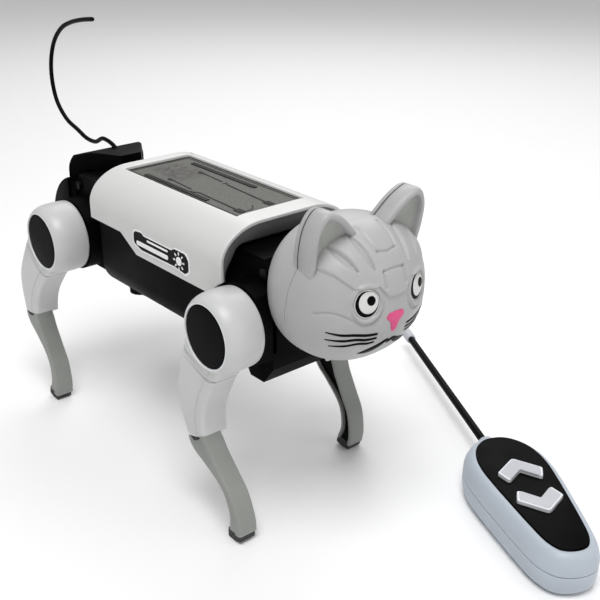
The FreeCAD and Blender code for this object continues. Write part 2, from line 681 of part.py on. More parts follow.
def belly_shell():
    """Open-topped shell between the gearboxes, with a battery opening and a switch hole underneath."""
    body = new_body("belly_shell")
    wide, bottom, rim = d.belly_half_width, d.belly_bottom, d.belly_rim
    outer = [(-wide, bottom), (wide, bottom), (wide, rim), (-wide, rim)]
    outline_pad(body, "YZ_Plane", outer, -d.belly_end, d.belly_end)
    corners = [Vector(0, side * float(wide), float(bottom)) for side in (LEFT, RIGHT)]
    round_edges(body, d.belly_round, runs_along(Vector(1, 0, 0), *corners))
    wall = d.belly_wall
    inner = [
        (-wide + wall, bottom + d.belly_round - 3.0), (-wide + d.belly_round, bottom + wall),
        (wide - d.belly_round, bottom + wall), (wide - wall, bottom + d.belly_round - 3.0),
        (wide - wall, rim + 1.0), (-wide + wall, rim + 1.0),
    ]
    outline_pad(body, "YZ_Plane", inner, -d.belly_end + wall, d.belly_end - wall, kind="Pocket")
    opening = block_outline(ZERO - 27.0, ZERO + 27.0, ZERO - 13.0, ZERO + 13.0)
    outline_pad(body, "XY_Plane", opening, bottom - 1.0, bottom + wall + 1.0, kind="Pocket")
    hole = d.running_gap + STEM_RADIUS
    circle_pad(body, "XY_Plane", KNOB_PLACE, hole, bottom - 1.0, bottom + wall + 1.0, kind="Pocket")
    return body


finished(belly_shell(), "belly_shell")

door_plate = block("door_plate", (ZERO - 26.8, ZERO + 26.8), (ZERO - 12.8, ZERO + 12.8),
                   (d.belly_bottom + 0.2, d.belly_bottom + 1.8))
door_lip = block("door_lip", (ZERO - 24.0, ZERO + 24.0), (ZERO - 15.0, ZERO + 15.0),
                 (d.belly_bottom + d.belly_wall, d.belly_bottom + d.belly_wall + 1.0))
door_web = block("door_web", (ZERO - 24.0, ZERO + 24.0), (ZERO - 12.5, ZERO + 12.5),
                 (d.belly_bottom + 1.0, d.belly_bottom + d.belly_wall + 0.5))
finished(fuse("battery_door_whole", [door_plate, door_lip, door_web]), "battery_door")

cells = []
for side in (LEFT, RIGHT):
    middle = (ZERO + side * 6.0, d.belly_bottom + d.belly_wall + 1.0 + 5.3)
    can = rod("cell_can", "x", middle, ZERO + 5.25, ZERO - 22.0, ZERO + 21.5)
    tip = rod("cell_tip", "x", middle, ZERO + 1.9, ZERO + 21.5, ZERO + 22.6)
    cells.append(fuse("cell", [can, tip]))
finished(group("battery_cells_pair", cells), "battery_cells")

board_plate = block("board_plate", (ZERO - 24.0, ZERO + 24.0), (-d.belly_half_width + d.belly_wall,
                    d.belly_half_width - d.belly_wall), (ZERO + 92.0, ZERO + 93.4))
board_chip = block("board_chip", (ZERO - 4.0, ZERO + 4.0), (ZERO - 3.0, ZERO + 3.0),
                   (ZERO + 93.4, ZERO + 95.0))
board_can = rod("board_can", "z", (ZERO + 12.0, ZERO + 8.0), ZERO + 3.0, ZERO + 93.4, ZERO + 101.0)
finished(fuse("circuit_board_whole", [board_plate, board_chip, board_can]), "circuit_board")


# The switch knob hangs under the belly and turns on its stem.
knob_top = d.belly_bottom - 0.3
knob_grip = rod("knob_grip", "z", KNOB_PLACE, ZERO + 5.2, d.belly_bottom - 3.3, knob_top)
knob_stem = rod("knob_stem", "z", KNOB_PLACE, ZERO + STEM_RADIUS, d.belly_bottom - 2.0, d.belly_bottom + 4.3)
knob_x, knob_y = KNOB_PLACE
knob_bar = block("knob_bar", (knob_x - 4.4, knob_x + 4.4), (knob_y - 1.2, knob_y + 1.2),
                 (d.belly_bottom - 4.2, d.belly_bottom - 3.0))
finished(fuse("power_knob_whole", [knob_grip, knob_stem, knob_bar]), "power_knob")

# ---------------------------------------------------------------- tail

# Middle line of the tail wire in the plane of symmetry: along the robot, then up.
TAIL_ROUTE = [
    (-67.0, 121.6), (-73.5, 124.9), (-78.6, 126.2), (-84.2, 126.2), (-91.0, 123.2), (-99.5, 123.2),
    (-108.5, 125.9), (-118.8, 129.2), (-127.2, 136.4), (-130.4, 146.4), (-129.3, 157.0),
    (-124.0, 167.0), (-115.2, 174.4), (-105.0, 178.4), (-93.8, 180.9), (-82.6, 182.5),
]


def rounded_path(points):
    """Straight runs joined by tangent arcs; each arc is as large as its two runs allow."""
    edges = []
    start = points[0]
    for before, corner, after in zip(points, points[1:], points[2:]):
        to_before, to_after = (before - corner), (after - corner)
        turn = math.pi - to_before.getAngle(to_after)
        reach = 0.45 * min(to_before.Length, to_after.Length)
        radius = reach / math.tan(turn / 2)
        first = corner + to_before.normalize() * reach
        last = corner + to_after.normalize() * reach
        inward = (to_before + to_after).normalize()
        middle = corner + inward * (math.hypot(radius, reach) - radius)
        edges.append(Part.LineSegment(start, first).toShape())
        edges.append(Part.Arc(first, middle, last).toShape())
        start = last
    edges.append(Part.LineSegment(start, points[-1]).toShape())
    return Part.Wire(edges)


def tail_wire():
    path = rounded_path([Vector(along, 0, up) for along, up in TAIL_ROUTE])
    first = path.Edges[0]
    direction = first.tangentAt(first.FirstParameter)
    ring = Part.Wire(Part.makeCircle(float(d.wire_radius), first.Vertexes[0].Point, direction))
    wire = path.makePipeShell([ring], True, False)
    end = path.Edges[-1].Vertexes[-1].Point
    knob = Part.makeSphere(float(d.wire_radius) * 1.25, end)
    expected = path.Length * math.pi * float(d.wire_radius) ** 2
    if abs(wire.Volume / expected - 1) > 0.02:
        raise ValueError("the tail wire has the wrong volume")
    return wire.fuse(knob)


wire_feature = shaped("tail_antenna", tail_wire(), None)


# The block that carries the tail is widest at its rear face and narrows towards the cover.
BLOCK_HALF_WIDTH = 21.0
LOBE_RADIUS = d.case_top - 0.2


def tail_housing():
    """Black shell behind the rear gearbox: a round lobe with a rounded block on top."""
    hip = (rear_hip, d.hip_height)
    lobe = rod("lobe", "y", hip, LOBE_RADIUS, ZERO - 26.0, ZERO + 26.0)
    lobe_hollow = rod("lobe_hollow", "y", hip, LOBE_RADIUS - 2.2, ZERO - 24.0, ZERO + 24.0)
    front_trim = block("lobe_trim", (rear_hip - d.case_front, ZERO), (ZERO - 30.0, ZERO + 30.0),
                       (ZERO + 40.0, d.hip_height + d.case_top))
    low_trim = block("lobe_low_trim", (ZERO - 100.0, ZERO), (ZERO - 30.0, ZERO + 30.0),
                     (ZERO + 40.0, d.hip_height - 8.0))
    shell = cut("lobe_shell", lobe, [lobe_hollow, front_trim, low_trim])
    body = new_body("tail_block")
    base = d.hip_height + d.case_top
    top = ZERO + 124.3
    across = block_outline(ZERO - BLOCK_HALF_WIDTH, ZERO + BLOCK_HALF_WIDTH, base - 6.0, top)
    outline_pad(body, "YZ_Plane", across, rear_hip - 16.5, rear_hip + 7.0)
    corners = [Vector(0, side * BLOCK_HALF_WIDTH, float(top)) for side in (LEFT, RIGHT)]
    round_edges(body, ZERO + 9.0, runs_along(Vector(1, 0, 0), *corners))
    through = (ZERO - 30.0, ZERO + 30.0)
    slope = [
        (rear_hip - 9.0, top), (rear_hip - 16.0, top - 2.3), (rear_hip - 16.6, base - 6.1),
        (rear_hip - 20.0, base - 6.1), (rear_hip - 20.0, top + 1.0), (rear_hip - 9.0, top + 1.0),
    ]
    outline_pad(body, "XZ_Plane", slope, *through, kind="Pocket")
    for side in (LEFT, RIGHT):
        narrowing = [
            (rear_hip - 16.0, ZERO + side * 20.5), (rear_hip - 16.0, ZERO + side * 24.0),
            (rear_hip + 8.0, ZERO + side * 24.0), (rear_hip + 8.0, ZERO + side * 5.0),
            (rear_hip - 1.0, ZERO + side * 10.0),
        ]
        outline_pad(body, "XY_Plane", narrowing, base - 7.0, top + 1.0, kind="Pocket")
    clear_of_case = block_outline(rear_hip - d.case_front, rear_hip + 8.0, base - 7.0, base)
    outline_pad(body, "XZ_Plane", clear_of_case, *through, kind="Pocket")
    whole = fuse("tail_housing_solid", [shell, body])
    return cut("tail_housing_bored", whole, [wire_feature])


finished(tail_housing(), "tail_housing")

# ---------------------------------------------------------------- head

# Stations of the head's oval sections, as shares of its half length from its centre.
HEAD_STATIONS = (-0.72, -0.45, -0.15, 0.15, 0.42, 0.64, 0.8, 0.91, 0.97, 0.995)


def head_oval(name, inset):
    """The egg of the head, drawn in by inset, lofted through upright oval sections."""
    sections = []
    for station in HEAD_STATIONS:
        share = math.sqrt(1 - station * station)
        oval = doc.addObject("Part::Ellipse", name + "_section")
        oval.Placement = Placement(Vector(), Rotation(Vector(1, 1, 1), 120))
        bind(oval, "MajorRadius", (d.head_wide - inset) * share)
        bind(oval, "MinorRadius", (d.head_tall - inset) * share)
        bind(oval, "Placement.Base.x", d.head_centre + (d.head_long - inset) * station)
        bind(oval, "Placement.Base.z", d.head_height)
        sections.append(oval)
    loft = doc.addObject("Part::Loft", name)
    loft.Sections = sections
    loft.Solid = True
    return loft


EAR_OUTLINE = [
    (29.0, 112.0), (31.0, 122.5), (30.3, 135.0), (28.0, 141.0), (24.0, 144.8),
    (18.0, 143.6), (11.5, 138.4), (5.5, 130.5), (8.0, 121.0),
]
EAR_MIDDLE = (20.5, 128.0)
EAR_HALF_WIDTH = 12.0
EAR_BACK = 87.5
EAR_FRONT = 99.5


def ear(name, side, inset, low, high):
    """One ear as a slab between two planes, its outline drawn in by inset."""
    body = new_body(name)
    middle_y, middle_z = EAR_MIDDLE
    shrink = 1 - inset / EAR_HALF_WIDTH
    points = []
    for across, up in EAR_OUTLINE:
        place_y = middle_y + (across - middle_y) * shrink
        place_z = middle_z + (up - middle_z) * shrink
        points.append((ZERO + side * place_y, ZERO + place_z))
    outline_pad(body, "YZ_Plane", points, low, high)
    return body


def head_half(label, low, high, ear_low, ear_high):
    """One head shell: a slice of the hollow ellipsoid with its share of both ears."""
    outer = head_oval(label + "_outer", 0)
    inner = head_oval(label + "_inner", d.head_wall)
    slabs = [ear(label + "_ear", side, 0.0, ear_low, ear_high) for side in (LEFT, RIGHT)]
    joined = fuse(label + "_joined", [outer] + slabs)
    tools = [inner]
    if float(ear_high) > float(d.head_seam) + 5:
        hollows = [ear(label + "_ear_dish", side, 2.6, ear_high - 2.2, ear_high + 1.0) for side in (LEFT, RIGHT)]
        tools += hollows
    shell = cut(label + "_hollow", joined, tools)
    window = block(label + "_window", (low, high), (ZERO - 60.0, ZERO + 60.0), (ZERO + 40.0, ZERO + 180.0))
    slice_ = doc.addObject("Part::MultiCommon", label + "_slice")
    slice_.Shapes = [shell, window]
    return slice_


front_slice = head_half("face_shell", d.head_seam, d.head_centre + 40.0, ZERO + EAR_BACK, ZERO + EAR_FRONT)
finished(front_slice, "face_shell")
rear_slice = head_half("head_back_shell", d.head_open, d.head_seam, ZERO + EAR_BACK, ZERO + EAR_BACK + 4.3)
finished(rear_slice, "head_back_shell")

neck_centre = (ZERO, d.head_height)
PLATE_FACE = 76.6
stub = rod("neck_stub", "x", neck_centre, d.neck_radius, ZERO + PLATE_FACE - 0.5, ZERO + 86.0)
plate = block("neck_plate", (front_hip + d.case_front, ZERO + PLATE_FACE), (ZERO - 15.0, ZERO + 15.0),
              (d.head_height - 13.0, d.head_height + 12.0))
finished(fuse("neck_mount_whole", [stub, plate]), "neck_mount")

socket_tube = rod("socket_tube", "x", neck_centre, d.neck_radius + 3.0, ZERO + 77.0, ZERO + 88.0)
socket_disc = head_oval("socket_disc", d.head_wall)
disc_window = block("socket_window", (ZERO + 78.0, ZERO + 80.0), (ZERO - 40.0, ZERO + 40.0),
                    (ZERO + 60.0, ZERO + 150.0))
disc_slice = doc.addObject("Part::Common", "socket_slice")
disc_slice.Base = socket_disc
disc_slice.Tool = disc_window
socket_whole = fuse("socket_whole", [socket_tube, disc_slice])
socket_bore = rod("socket_bore", "x", neck_centre, d.neck_radius + d.running_gap, ZERO + 70.0, ZERO + 87.0)
finished(cut("neck_socket_bored", socket_whole, [socket_bore]), "neck_socket")

# ---------------------------------------------------------------- remote control

# The remote lies on the floor, its lower end at this place and its length along this heading.
REMOTE_PLACE = Vector(188.0, 33.0, 0)
REMOTE_HEADING = 151.6
remote_at = Placement(REMOTE_PLACE, Rotation(Vector(0, 0, 1), REMOTE_HEADING))
# Half of the plan outline as shares of the length and of the half width, from the lower end.
REMOTE_HALF = [
    (0.0, 0.36), (0.03, 0.64), (0.10, 0.88), (0.22, 1.0), (0.60, 1.0), (0.76, 0.88), (0.88, 0.64), (0.97, 0.34),
]
UP_CHEVRON = [(66.0, 0.0), (57.0, 10.0), (50.5, 7.4), (57.4, 0.0)]
DOWN_CHEVRON = [(28.0, 0.0), (37.0, 10.0), (43.5, 7.4), (36.6, 0.0)]
BUTTON_LIFT = 1.6
BUTTON_GAP = 0.4
PLATE_RISE = 0.6


def remote_outline(inset):
    half_long, half_wide = d.remote_long * 0.5, d.remote_wide * 0.5
    long_share = 1 - inset / float(half_long)
    wide_share = 1 - inset / float(half_wide)
    upper = [
        (half_long + (d.remote_long * along - half_long) * long_share, half_wide * across * wide_share)
        for along, across in REMOTE_HALF
    ]
    return upper + [(along, -across) for along, across in reversed(upper)]


def chevron(points, gap):
    """A chevron from its half outline, each side moved outwards by a gap."""
    corners = [Vector(along, across, 0) for along, across in points]
    corners += [Vector(along, -across, 0) for along, across in reversed(points[1:-1])]
    turn = sum(before.cross(after).z for before, after in zip(corners, corners[1:] + corners[:1]))
    outwards = math.copysign(gap, turn)
    count = len(corners)
    moved = []
    for index, corner in enumerate(corners):
        arriving = (corner - corners[index - 1]).normalize()
        leaving = (corners[(index + 1) % count] - corner).normalize()
        sides = Vector(arriving.y, -arriving.x, 0) + Vector(leaving.y, -leaving.x, 0)
        place = corner + sides * (outwards / (1 + arriving.dot(leaving)))
        moved.append((ZERO + place.x, ZERO + place.y))
    return moved


def remote_back():
    body = new_body("remote_back_shell")
    outline_pad(body, "XY_Plane", remote_outline(0), ZERO, d.remote_split)
    outline_pad(body, "XY_Plane", remote_outline(1.8), d.remote_wall, d.remote_split + 1.0, kind="Pocket")
    return body


def remote_front():
    body = new_body("remote_top_shell")
    outline_pad(body, "XY_Plane", remote_outline(0), d.remote_split, d.remote_top)
    inside = (d.remote_split - 1.0, d.remote_top - d.remote_wall)
    outline_pad(body, "XY_Plane", remote_outline(1.8), *inside, kind="Pocket")
    through = (d.remote_split, d.remote_top + 1.0)
    for points in (UP_CHEVRON, DOWN_CHEVRON):
        outline_pad(body, "XY_Plane", chevron(points, BUTTON_GAP), *through, kind="Pocket")
    neck = rod("remote_collar", "x", (ZERO, d.remote_split + 1.0), ZERO + 4.2, d.remote_long - 3.5, d.remote_long + 4.0)
    above = block("collar_half", (d.remote_long - 5.0, d.remote_long + 5.0), (ZERO - 6.0, ZERO + 6.0),
                  (d.remote_split, d.remote_split + 8.0))
    upper_collar = doc.addObject("Part::Common", "upper_collar")
    upper_collar.Base = neck
    upper_collar.Tool = above
    return fuse("remote_top_whole", [body, upper_collar])


def remote_face():
    body = new_body("remote_face_plate")
    outline_pad(body, "XY_Plane", remote_outline(5.0), d.remote_top, d.remote_top + PLATE_RISE)
    for points in (UP_CHEVRON, DOWN_CHEVRON):
        layer = (d.remote_top - 0.5, d.remote_top + PLATE_RISE + 0.5)
        outline_pad(body, "XY_Plane", chevron(points, BUTTON_GAP), *layer, kind="Pocket")
    return body


def remote_button(label, points):
    body = new_body(label)
    low, high = d.remote_top - 5.0, d.remote_top + PLATE_RISE + BUTTON_LIFT
    outline_pad(body, "XY_Plane", chevron(points, 0.0), low, high)
    return body


finished(remote_back(), "remote_back_shell", remote_at)
finished(remote_front(), "remote_top_shell", remote_at)
finished(remote_face(), "remote_face_plate", remote_at)
finished(remote_button("remote_forward_button", UP_CHEVRON), "remote_forward_button", remote_at)
finished(remote_button("remote_reverse_button", DOWN_CHEVRON), "remote_reverse_button", remote_at)

aerial_centre = (ZERO, d.remote_split + 1.0)
aerial_low, aerial_high = d.remote_long + 4.0, d.remote_long + 112.0
aerial = rod("aerial", "x", aerial_centre, ZERO + 1.8, aerial_low, aerial_high)
finished(group("remote_antenna_rod", [aerial]), "remote_antenna", remote_at)
aerial_tip = rod("aerial_tip", "x", aerial_centre, ZERO + 2.7, aerial_high, aerial_high + 10.0)
finished(group("remote_antenna_end", [aerial_tip]), "remote_antenna_tip", remote_at)

# ---------------------------------------------------------------- checks and files

doc.recompute()
for item in doc.Objects:
    if "Invalid" in item.State or "Error" in item.State:
        raise ValueError("failed: %s (%s) %s" % (item.Label, item.Name, item.State))

labels = [piece.Label for piece in pieces]
if len(set(labels)) != len(labels):
    raise ValueError("two pieces share a name")

for piece in pieces:
    shape = piece.Shape
    if shape.isNull() or not shape.isValid() or shape.Volume <= 0:
        raise ValueError("bad shape: " + piece.Label)
    shape.exportStep(os.path.join("parts", piece.Label + ".step"))
    print("%-26s %d solids %10.1f mm3" % (piece.Label, len(shape.Solids), shape.Volume))
print(len(pieces), "pieces")
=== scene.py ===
import json
import math

import bmesh
import bpy
import numpy as np
from mathutils import Matrix, Vector


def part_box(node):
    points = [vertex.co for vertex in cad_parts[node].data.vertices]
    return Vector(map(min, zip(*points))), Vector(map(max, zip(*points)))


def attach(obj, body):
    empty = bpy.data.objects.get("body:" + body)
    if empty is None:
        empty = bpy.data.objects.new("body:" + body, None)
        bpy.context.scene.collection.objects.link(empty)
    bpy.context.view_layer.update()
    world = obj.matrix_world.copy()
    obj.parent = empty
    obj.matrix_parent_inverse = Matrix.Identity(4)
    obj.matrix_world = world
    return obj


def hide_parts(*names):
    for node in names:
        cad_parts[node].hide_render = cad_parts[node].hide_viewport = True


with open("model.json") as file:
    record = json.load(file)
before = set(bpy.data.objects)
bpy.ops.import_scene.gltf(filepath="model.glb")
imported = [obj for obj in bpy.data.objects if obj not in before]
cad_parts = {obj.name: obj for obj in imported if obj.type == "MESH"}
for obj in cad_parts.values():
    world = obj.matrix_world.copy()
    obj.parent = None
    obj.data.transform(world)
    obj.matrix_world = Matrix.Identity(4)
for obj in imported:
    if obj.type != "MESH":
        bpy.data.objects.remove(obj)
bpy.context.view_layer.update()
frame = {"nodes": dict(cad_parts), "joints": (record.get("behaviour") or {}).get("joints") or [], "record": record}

record = frame["record"]
scene = bpy.context.scene
MM = 0.001
LEFT, RIGHT = 1, -1
joint_place = {joint["name"]: joint["pos_m"] for joint in frame["joints"] if "pos_m" in joint}


def box_mm(node):
    """Lowest and highest corner of a CAD node, in millimetres."""
    low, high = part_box(node)
    return np.array(low) / MM, np.array(high) / MM


# ------------------------------------------------------------------ camera, light and floor

CAMERA_PLACE = Vector((0.3384, -0.2375, 0.2553))
CAMERA_FORWARD = Vector((-0.682, 0.569, -0.459))
camera_data = bpy.data.cameras.new("camera")
camera_data.lens = 59.06
camera_data.sensor_width = 36.0
camera_data.shift_x = 0.0295
camera_data.shift_y = 0.0847
camera_data.clip_start = 0.01
camera = bpy.data.objects.new("camera", camera_data)
scene.collection.objects.link(camera)
across = CAMERA_FORWARD.cross(Vector((0, 0, 1))).normalized()
upwards = across.cross(CAMERA_FORWARD).normalized()
turn = Matrix((across, upwards, -CAMERA_FORWARD.normalized())).transposed()
camera.matrix_world = Matrix.Translation(CAMERA_PLACE) @ turn.to_4x4()
scene.camera = camera
scene.view_settings.view_transform = "Standard"


def area_light(name, place, target, size, power):
    data = bpy.data.lights.new(name, "AREA")
    data.size = size
    data.energy = power
    lamp = bpy.data.objects.new(name, data)
    scene.collection.objects.link(lamp)
    lamp.location = place
    lamp.rotation_euler = (Vector(target) - Vector(place)).to_track_quat("-Z", "Y").to_euler()


area_light("key_light", (0.30, -0.25, 0.95), (0.0, 0.0, 0.08), 0.5, 6.3)
area_light("back_light", (-0.5, 0.6, 0.8), (0.0, 0.0, 0.1), 0.8, 4.0)
area_light("side_light", (0.9, 0.5, 0.45), (0.05, 0.0, 0.08), 0.6, 1.2)
world = bpy.data.worlds.new("studio")
scene.world = world
world.use_nodes = True
world.node_tree.nodes["Background"].inputs["Color"].default_value = (1.0, 1.0, 1.0, 1)
world.node_tree.nodes["Background"].inputs["Strength"].default_value = 0.45


# ------------------------------------------------------------------ materials

def linear(red, green, blue):
    """A display colour from 0 to 255 as the linear colour the shader wants."""
    shares = (red / 255, green / 255, blue / 255)
    return tuple(c / 12.92 if c <= 0.04045 else ((c + 0.055) / 1.055) ** 2.4 for c in shares) + (1.0,)


def scaled(colour, share):
    return tuple(min(1.0, c * share) for c in colour[:3]) + (1.0,)


class Finish:
    """A node material: a principled shader with small helpers that add and join nodes."""

    def __init__(self, name, rough, metal=0.0, coat=0.0, gloss=0.5):
        self.material = bpy.data.materials.new(name)
        self.material.use_nodes = True
        self.tree = self.material.node_tree
        self.shader = self.tree.nodes["Principled BSDF"]
        self.shader.inputs["Roughness"].default_value = rough
        self.shader.inputs["Metallic"].default_value = metal
        self.shader.inputs["Coat Weight"].default_value = coat
        self.shader.inputs["Specular IOR Level"].default_value = gloss
        self.shader.inputs["Coat Roughness"].default_value = 0.2
        self.place = self.tree.nodes.new("ShaderNodeTexCoord").outputs["Object"]

    def join(self, source, target):
        self.tree.links.new(source, target)

    def noise(self, scale, detail=2.0, stretch=(1, 1, 1)):
        place = self.place
        if stretch != (1, 1, 1):
            mapping = self.tree.nodes.new("ShaderNodeMapping")
            mapping.inputs["Scale"].default_value = stretch
            self.join(place, mapping.inputs["Vector"])
            place = mapping.outputs["Vector"]
        node = self.tree.nodes.new("ShaderNodeTexNoise")
        node.inputs["Scale"].default_value = scale
        node.inputs["Detail"].default_value = detail
        self.join(place, node.inputs["Vector"])
        return node.outputs["Fac"]

    def remap(self, source, from_low, from_high, to_low, to_high):
        node = self.tree.nodes.new("ShaderNodeMapRange")
        for label, amount in (("From Min", from_low), ("From Max", from_high), ("To Min", to_low),
                              ("To Max", to_high)):
            node.inputs[label].default_value = amount
        self.join(source, node.inputs["Value"])
        return node.outputs["Result"]

    def mix(self, factor, first, second):
        node = self.tree.nodes.new("ShaderNodeMix")
        node.data_type = "RGBA"
        self.join(factor, node.inputs["Factor"])
        for value, socket in ((first, node.inputs["A"]), (second, node.inputs["B"])):
            if isinstance(value, tuple):
                socket.default_value = value
            else:
                self.join(value, socket)
        return node.outputs["Result"]

    def colour(self, source):
        self.join(source, self.shader.inputs["Base Color"])

    def roughness(self, source):
        self.join(source, self.shader.inputs["Roughness"])

    def bump(self, source, depth_mm, strength=1.0):
        node = self.tree.nodes.new("ShaderNodeBump")
        node.inputs["Distance"].default_value = depth_mm * MM
        node.inputs["Strength"].default_value = strength
        self.join(source, node.inputs["Height"])
        self.join(node.outputs["Normal"], self.shader.inputs["Normal"])

    def edges(self, low=0.50, high=0.58):
        geometry = self.tree.nodes.new("ShaderNodeNewGeometry")
        return self.remap(geometry.outputs["Pointiness"], low, high, 0.0, 1.0)


FINISHES = {}


def moulded(name, colour, rough, fleck=0.05, grain=1500.0, relief=0.02, edge_highlight=0.0, metal=0.0, coat=0.0,
            patch=0.06,
            gloss=0.5):
    """Moulded plastic or paint: fine grain, soft broad patches, uneven gloss and a painted highlight that lightens
    sharp edges.
    """
    finish = Finish(name, rough, metal, coat, gloss)
    fine = finish.noise(grain, 3.0)
    broad = finish.noise(55.0, 2.0)
    grainy = finish.mix(fine, scaled(colour, 1 - fleck), scaled(colour, 1 + fleck))
    patchy = finish.mix(fine, scaled(colour, 1 - fleck - patch), scaled(colour, 1 + fleck - patch))
    shade = finish.mix(finish.remap(broad, 0.35, 0.7, 0.0, 1.0), grainy, patchy)
    # Painted highlight: sharp edges (high pointiness) are lightened to stand for the bright rims that light draws
    # along them.
    if edge_highlight:
        shade = finish.mix(finish.edges(), shade, scaled(colour, 1 + edge_highlight))
    finish.colour(shade)
    finish.roughness(finish.remap(broad, 0.3, 0.7, rough - 0.05, rough + 0.07))
    finish.bump(fine, relief)
    FINISHES[name] = finish.material
    return finish


moulded("white_cover_plastic", linear(204, 204, 203), 0.36, fleck=0.02, relief=0.008, edge_highlight=0.10, patch=0.02)
moulded("light_grey_plastic", linear(190, 191, 190), 0.34, fleck=0.05, relief=0.012, edge_highlight=0.35, coat=0.15)
moulded("shin_grey_plastic", linear(134, 136, 132), 0.42, fleck=0.10, grain=1900.0, relief=0.018, edge_highlight=0.30)
moulded("head_grey_plastic", linear(170, 170, 170), 0.42, fleck=0.05, relief=0.014)
moulded("ear_lining_plastic", linear(166, 168, 163), 0.55, fleck=0.10, grain=2200.0, relief=0.03)
# The front arch is white cover plastic. This darker grey copy is painted shade for its face, which is turned away
# from the light.
moulded("arch_painted_shade_plastic", linear(118, 118, 118), 0.45, fleck=0.06, relief=0.015)
moulded("black_plastic", linear(4, 4, 5), 0.50, fleck=0.25, relief=0.02, edge_highlight=0.5, gloss=0.04)
moulded("black_gloss_plastic", linear(2, 2, 3), 0.38, fleck=0.25, relief=0.006, gloss=0.03)
moulded("foot_rubber", linear(46, 46, 46), 0.72, fleck=0.18, grain=2400.0, relief=0.05)
moulded("gear_plastic", linear(224, 221, 208), 0.45, fleck=0.04, relief=0.01)
moulded("motor_can", linear(168, 170, 174), 0.32, fleck=0.06, metal=1.0, relief=0.006)
moulded("screw_steel", linear(44, 44, 46), 0.38, fleck=0.08, metal=1.0, relief=0.01)
moulded("badge_print", linear(8, 8, 9), 0.33, fleck=0.2, relief=0.01, gloss=0.05)
moulded("badge_white_print", linear(240, 240, 240), 0.40, fleck=0.03, relief=0.01)
moulded("cell_jacket", linear(40, 92, 60), 0.35, fleck=0.08, relief=0.01)
moulded("board_laminate", linear(26, 82, 48), 0.5, fleck=0.15, relief=0.02)
moulded("black_wire", linear(8, 8, 9), 0.38, fleck=0.2, relief=0.02, gloss=0.05)
moulded("remote_grey_plastic", linear(176, 184, 194), 0.42, fleck=0.04, relief=0.02, edge_highlight=0.12)
moulded("button_grey_plastic", linear(186, 188, 193), 0.5, fleck=0.05, relief=0.03)
moulded("button_edge_plastic", linear(222, 224, 228), 0.45, fleck=0.04, relief=0.02)
moulded("eye_white_paint", linear(214, 214, 212), 0.35, fleck=0.04, relief=0.008, coat=0.2)
moulded("ink_paint", linear(4, 4, 4), 0.32, fleck=0.2, relief=0.01, gloss=0.05)
moulded("nose_pink_paint", linear(214, 72, 128), 0.42, fleck=0.12, grain=1100.0, relief=0.02)
moulded("panel_line_print", linear(14, 14, 12), 0.45, fleck=0.25, grain=2600.0, relief=0.02, gloss=0.1)
moulded("seam_shadow", linear(30, 30, 30), 0.6, fleck=0.2, relief=0.02)

# The solar panel: a speckled grey-green film with a darker mottled patch towards its rear.
panel_low, panel_high = box_mm("solar_panel")
panel = Finish("solar_cell", 0.40, gloss=0.25)
speckle = panel.noise(1500.0, 2.0)
mottle = panel.noise(420.0, 3.0)
film = panel.mix(panel.remap(speckle, 0.35, 0.65, 0.0, 1.0), linear(46, 46, 42), linear(90, 90, 84))
dark = panel.mix(panel.remap(mottle, 0.40, 0.60, 0.0, 1.0), linear(40, 38, 34), linear(70, 68, 62))
split = panel.tree.nodes.new("ShaderNodeSeparateXYZ")
panel.join(panel.place, split.inputs["Vector"])
along = panel.remap(split.outputs["X"], -0.009, -0.004, 1.0, 0.0)
behind = panel.remap(split.outputs["X"], -0.031, -0.028, 0.0, 1.0)
beside = panel.tree.nodes.new("ShaderNodeMath")
beside.operation = "ABSOLUTE"
panel.join(split.outputs["Y"], beside.inputs[0])
inside = panel.remap(beside.outputs["Value"], 0.0065, 0.0095, 1.0, 0.0)
patch = None
for share in (along, behind, inside):
    if patch is None:
        patch = share
        continue
    product = panel.tree.nodes.new("ShaderNodeMath")
    product.operation = "MULTIPLY"
    panel.join(patch, product.inputs[0])
    panel.join(share, product.inputs[1])
    patch = product.outputs["Value"]
panel.colour(panel.mix(patch, film, dark))
panel.roughness(panel.remap(speckle, 0.3, 0.7, 0.34, 0.5))
panel.bump(speckle, 0.02)
FINISHES["solar_cell"] = panel.material

moulded("floor_paper", (0.95, 0.95, 0.95, 1.0), 0.6, fleck=0.005, grain=400.0, relief=0.01, patch=0.004)
bpy.ops.mesh.primitive_grid_add(x_subdivisions=4, y_subdivisions=4, size=12.0, location=(0, 0, -0.0002))
floor = bpy.context.object
floor.name = "floor"
floor.data.materials.append(FINISHES["floor_paper"])


# ------------------------------------------------------------------ piece helpers

def make_piece(name, points, faces, finish, body, slot, replaced=(), round_by=0.0, segments=3, solid=0.0,
               sharp=40.0):
    """A piece from points in millimetres, riding on a body and standing for some CAD nodes."""
    mesh = bpy.data.meshes.new(name)
    mesh.from_pydata([tuple(float(c) * MM for c in point) for point in points], [], faces)
    bm = bmesh.new()
    bm.from_mesh(mesh)
    bmesh.ops.remove_doubles(bm, verts=bm.verts, dist=0.004 * MM)
    bmesh.ops.dissolve_degenerate(bm, edges=bm.edges, dist=0.001 * MM)
    bmesh.ops.recalc_face_normals(bm, faces=bm.faces)
    for face in bm.faces:
        face.smooth = True
    bm.to_mesh(mesh)
    bm.free()
    return dress(name, mesh, finish, body, replaced, round_by, segments, solid, sharp)


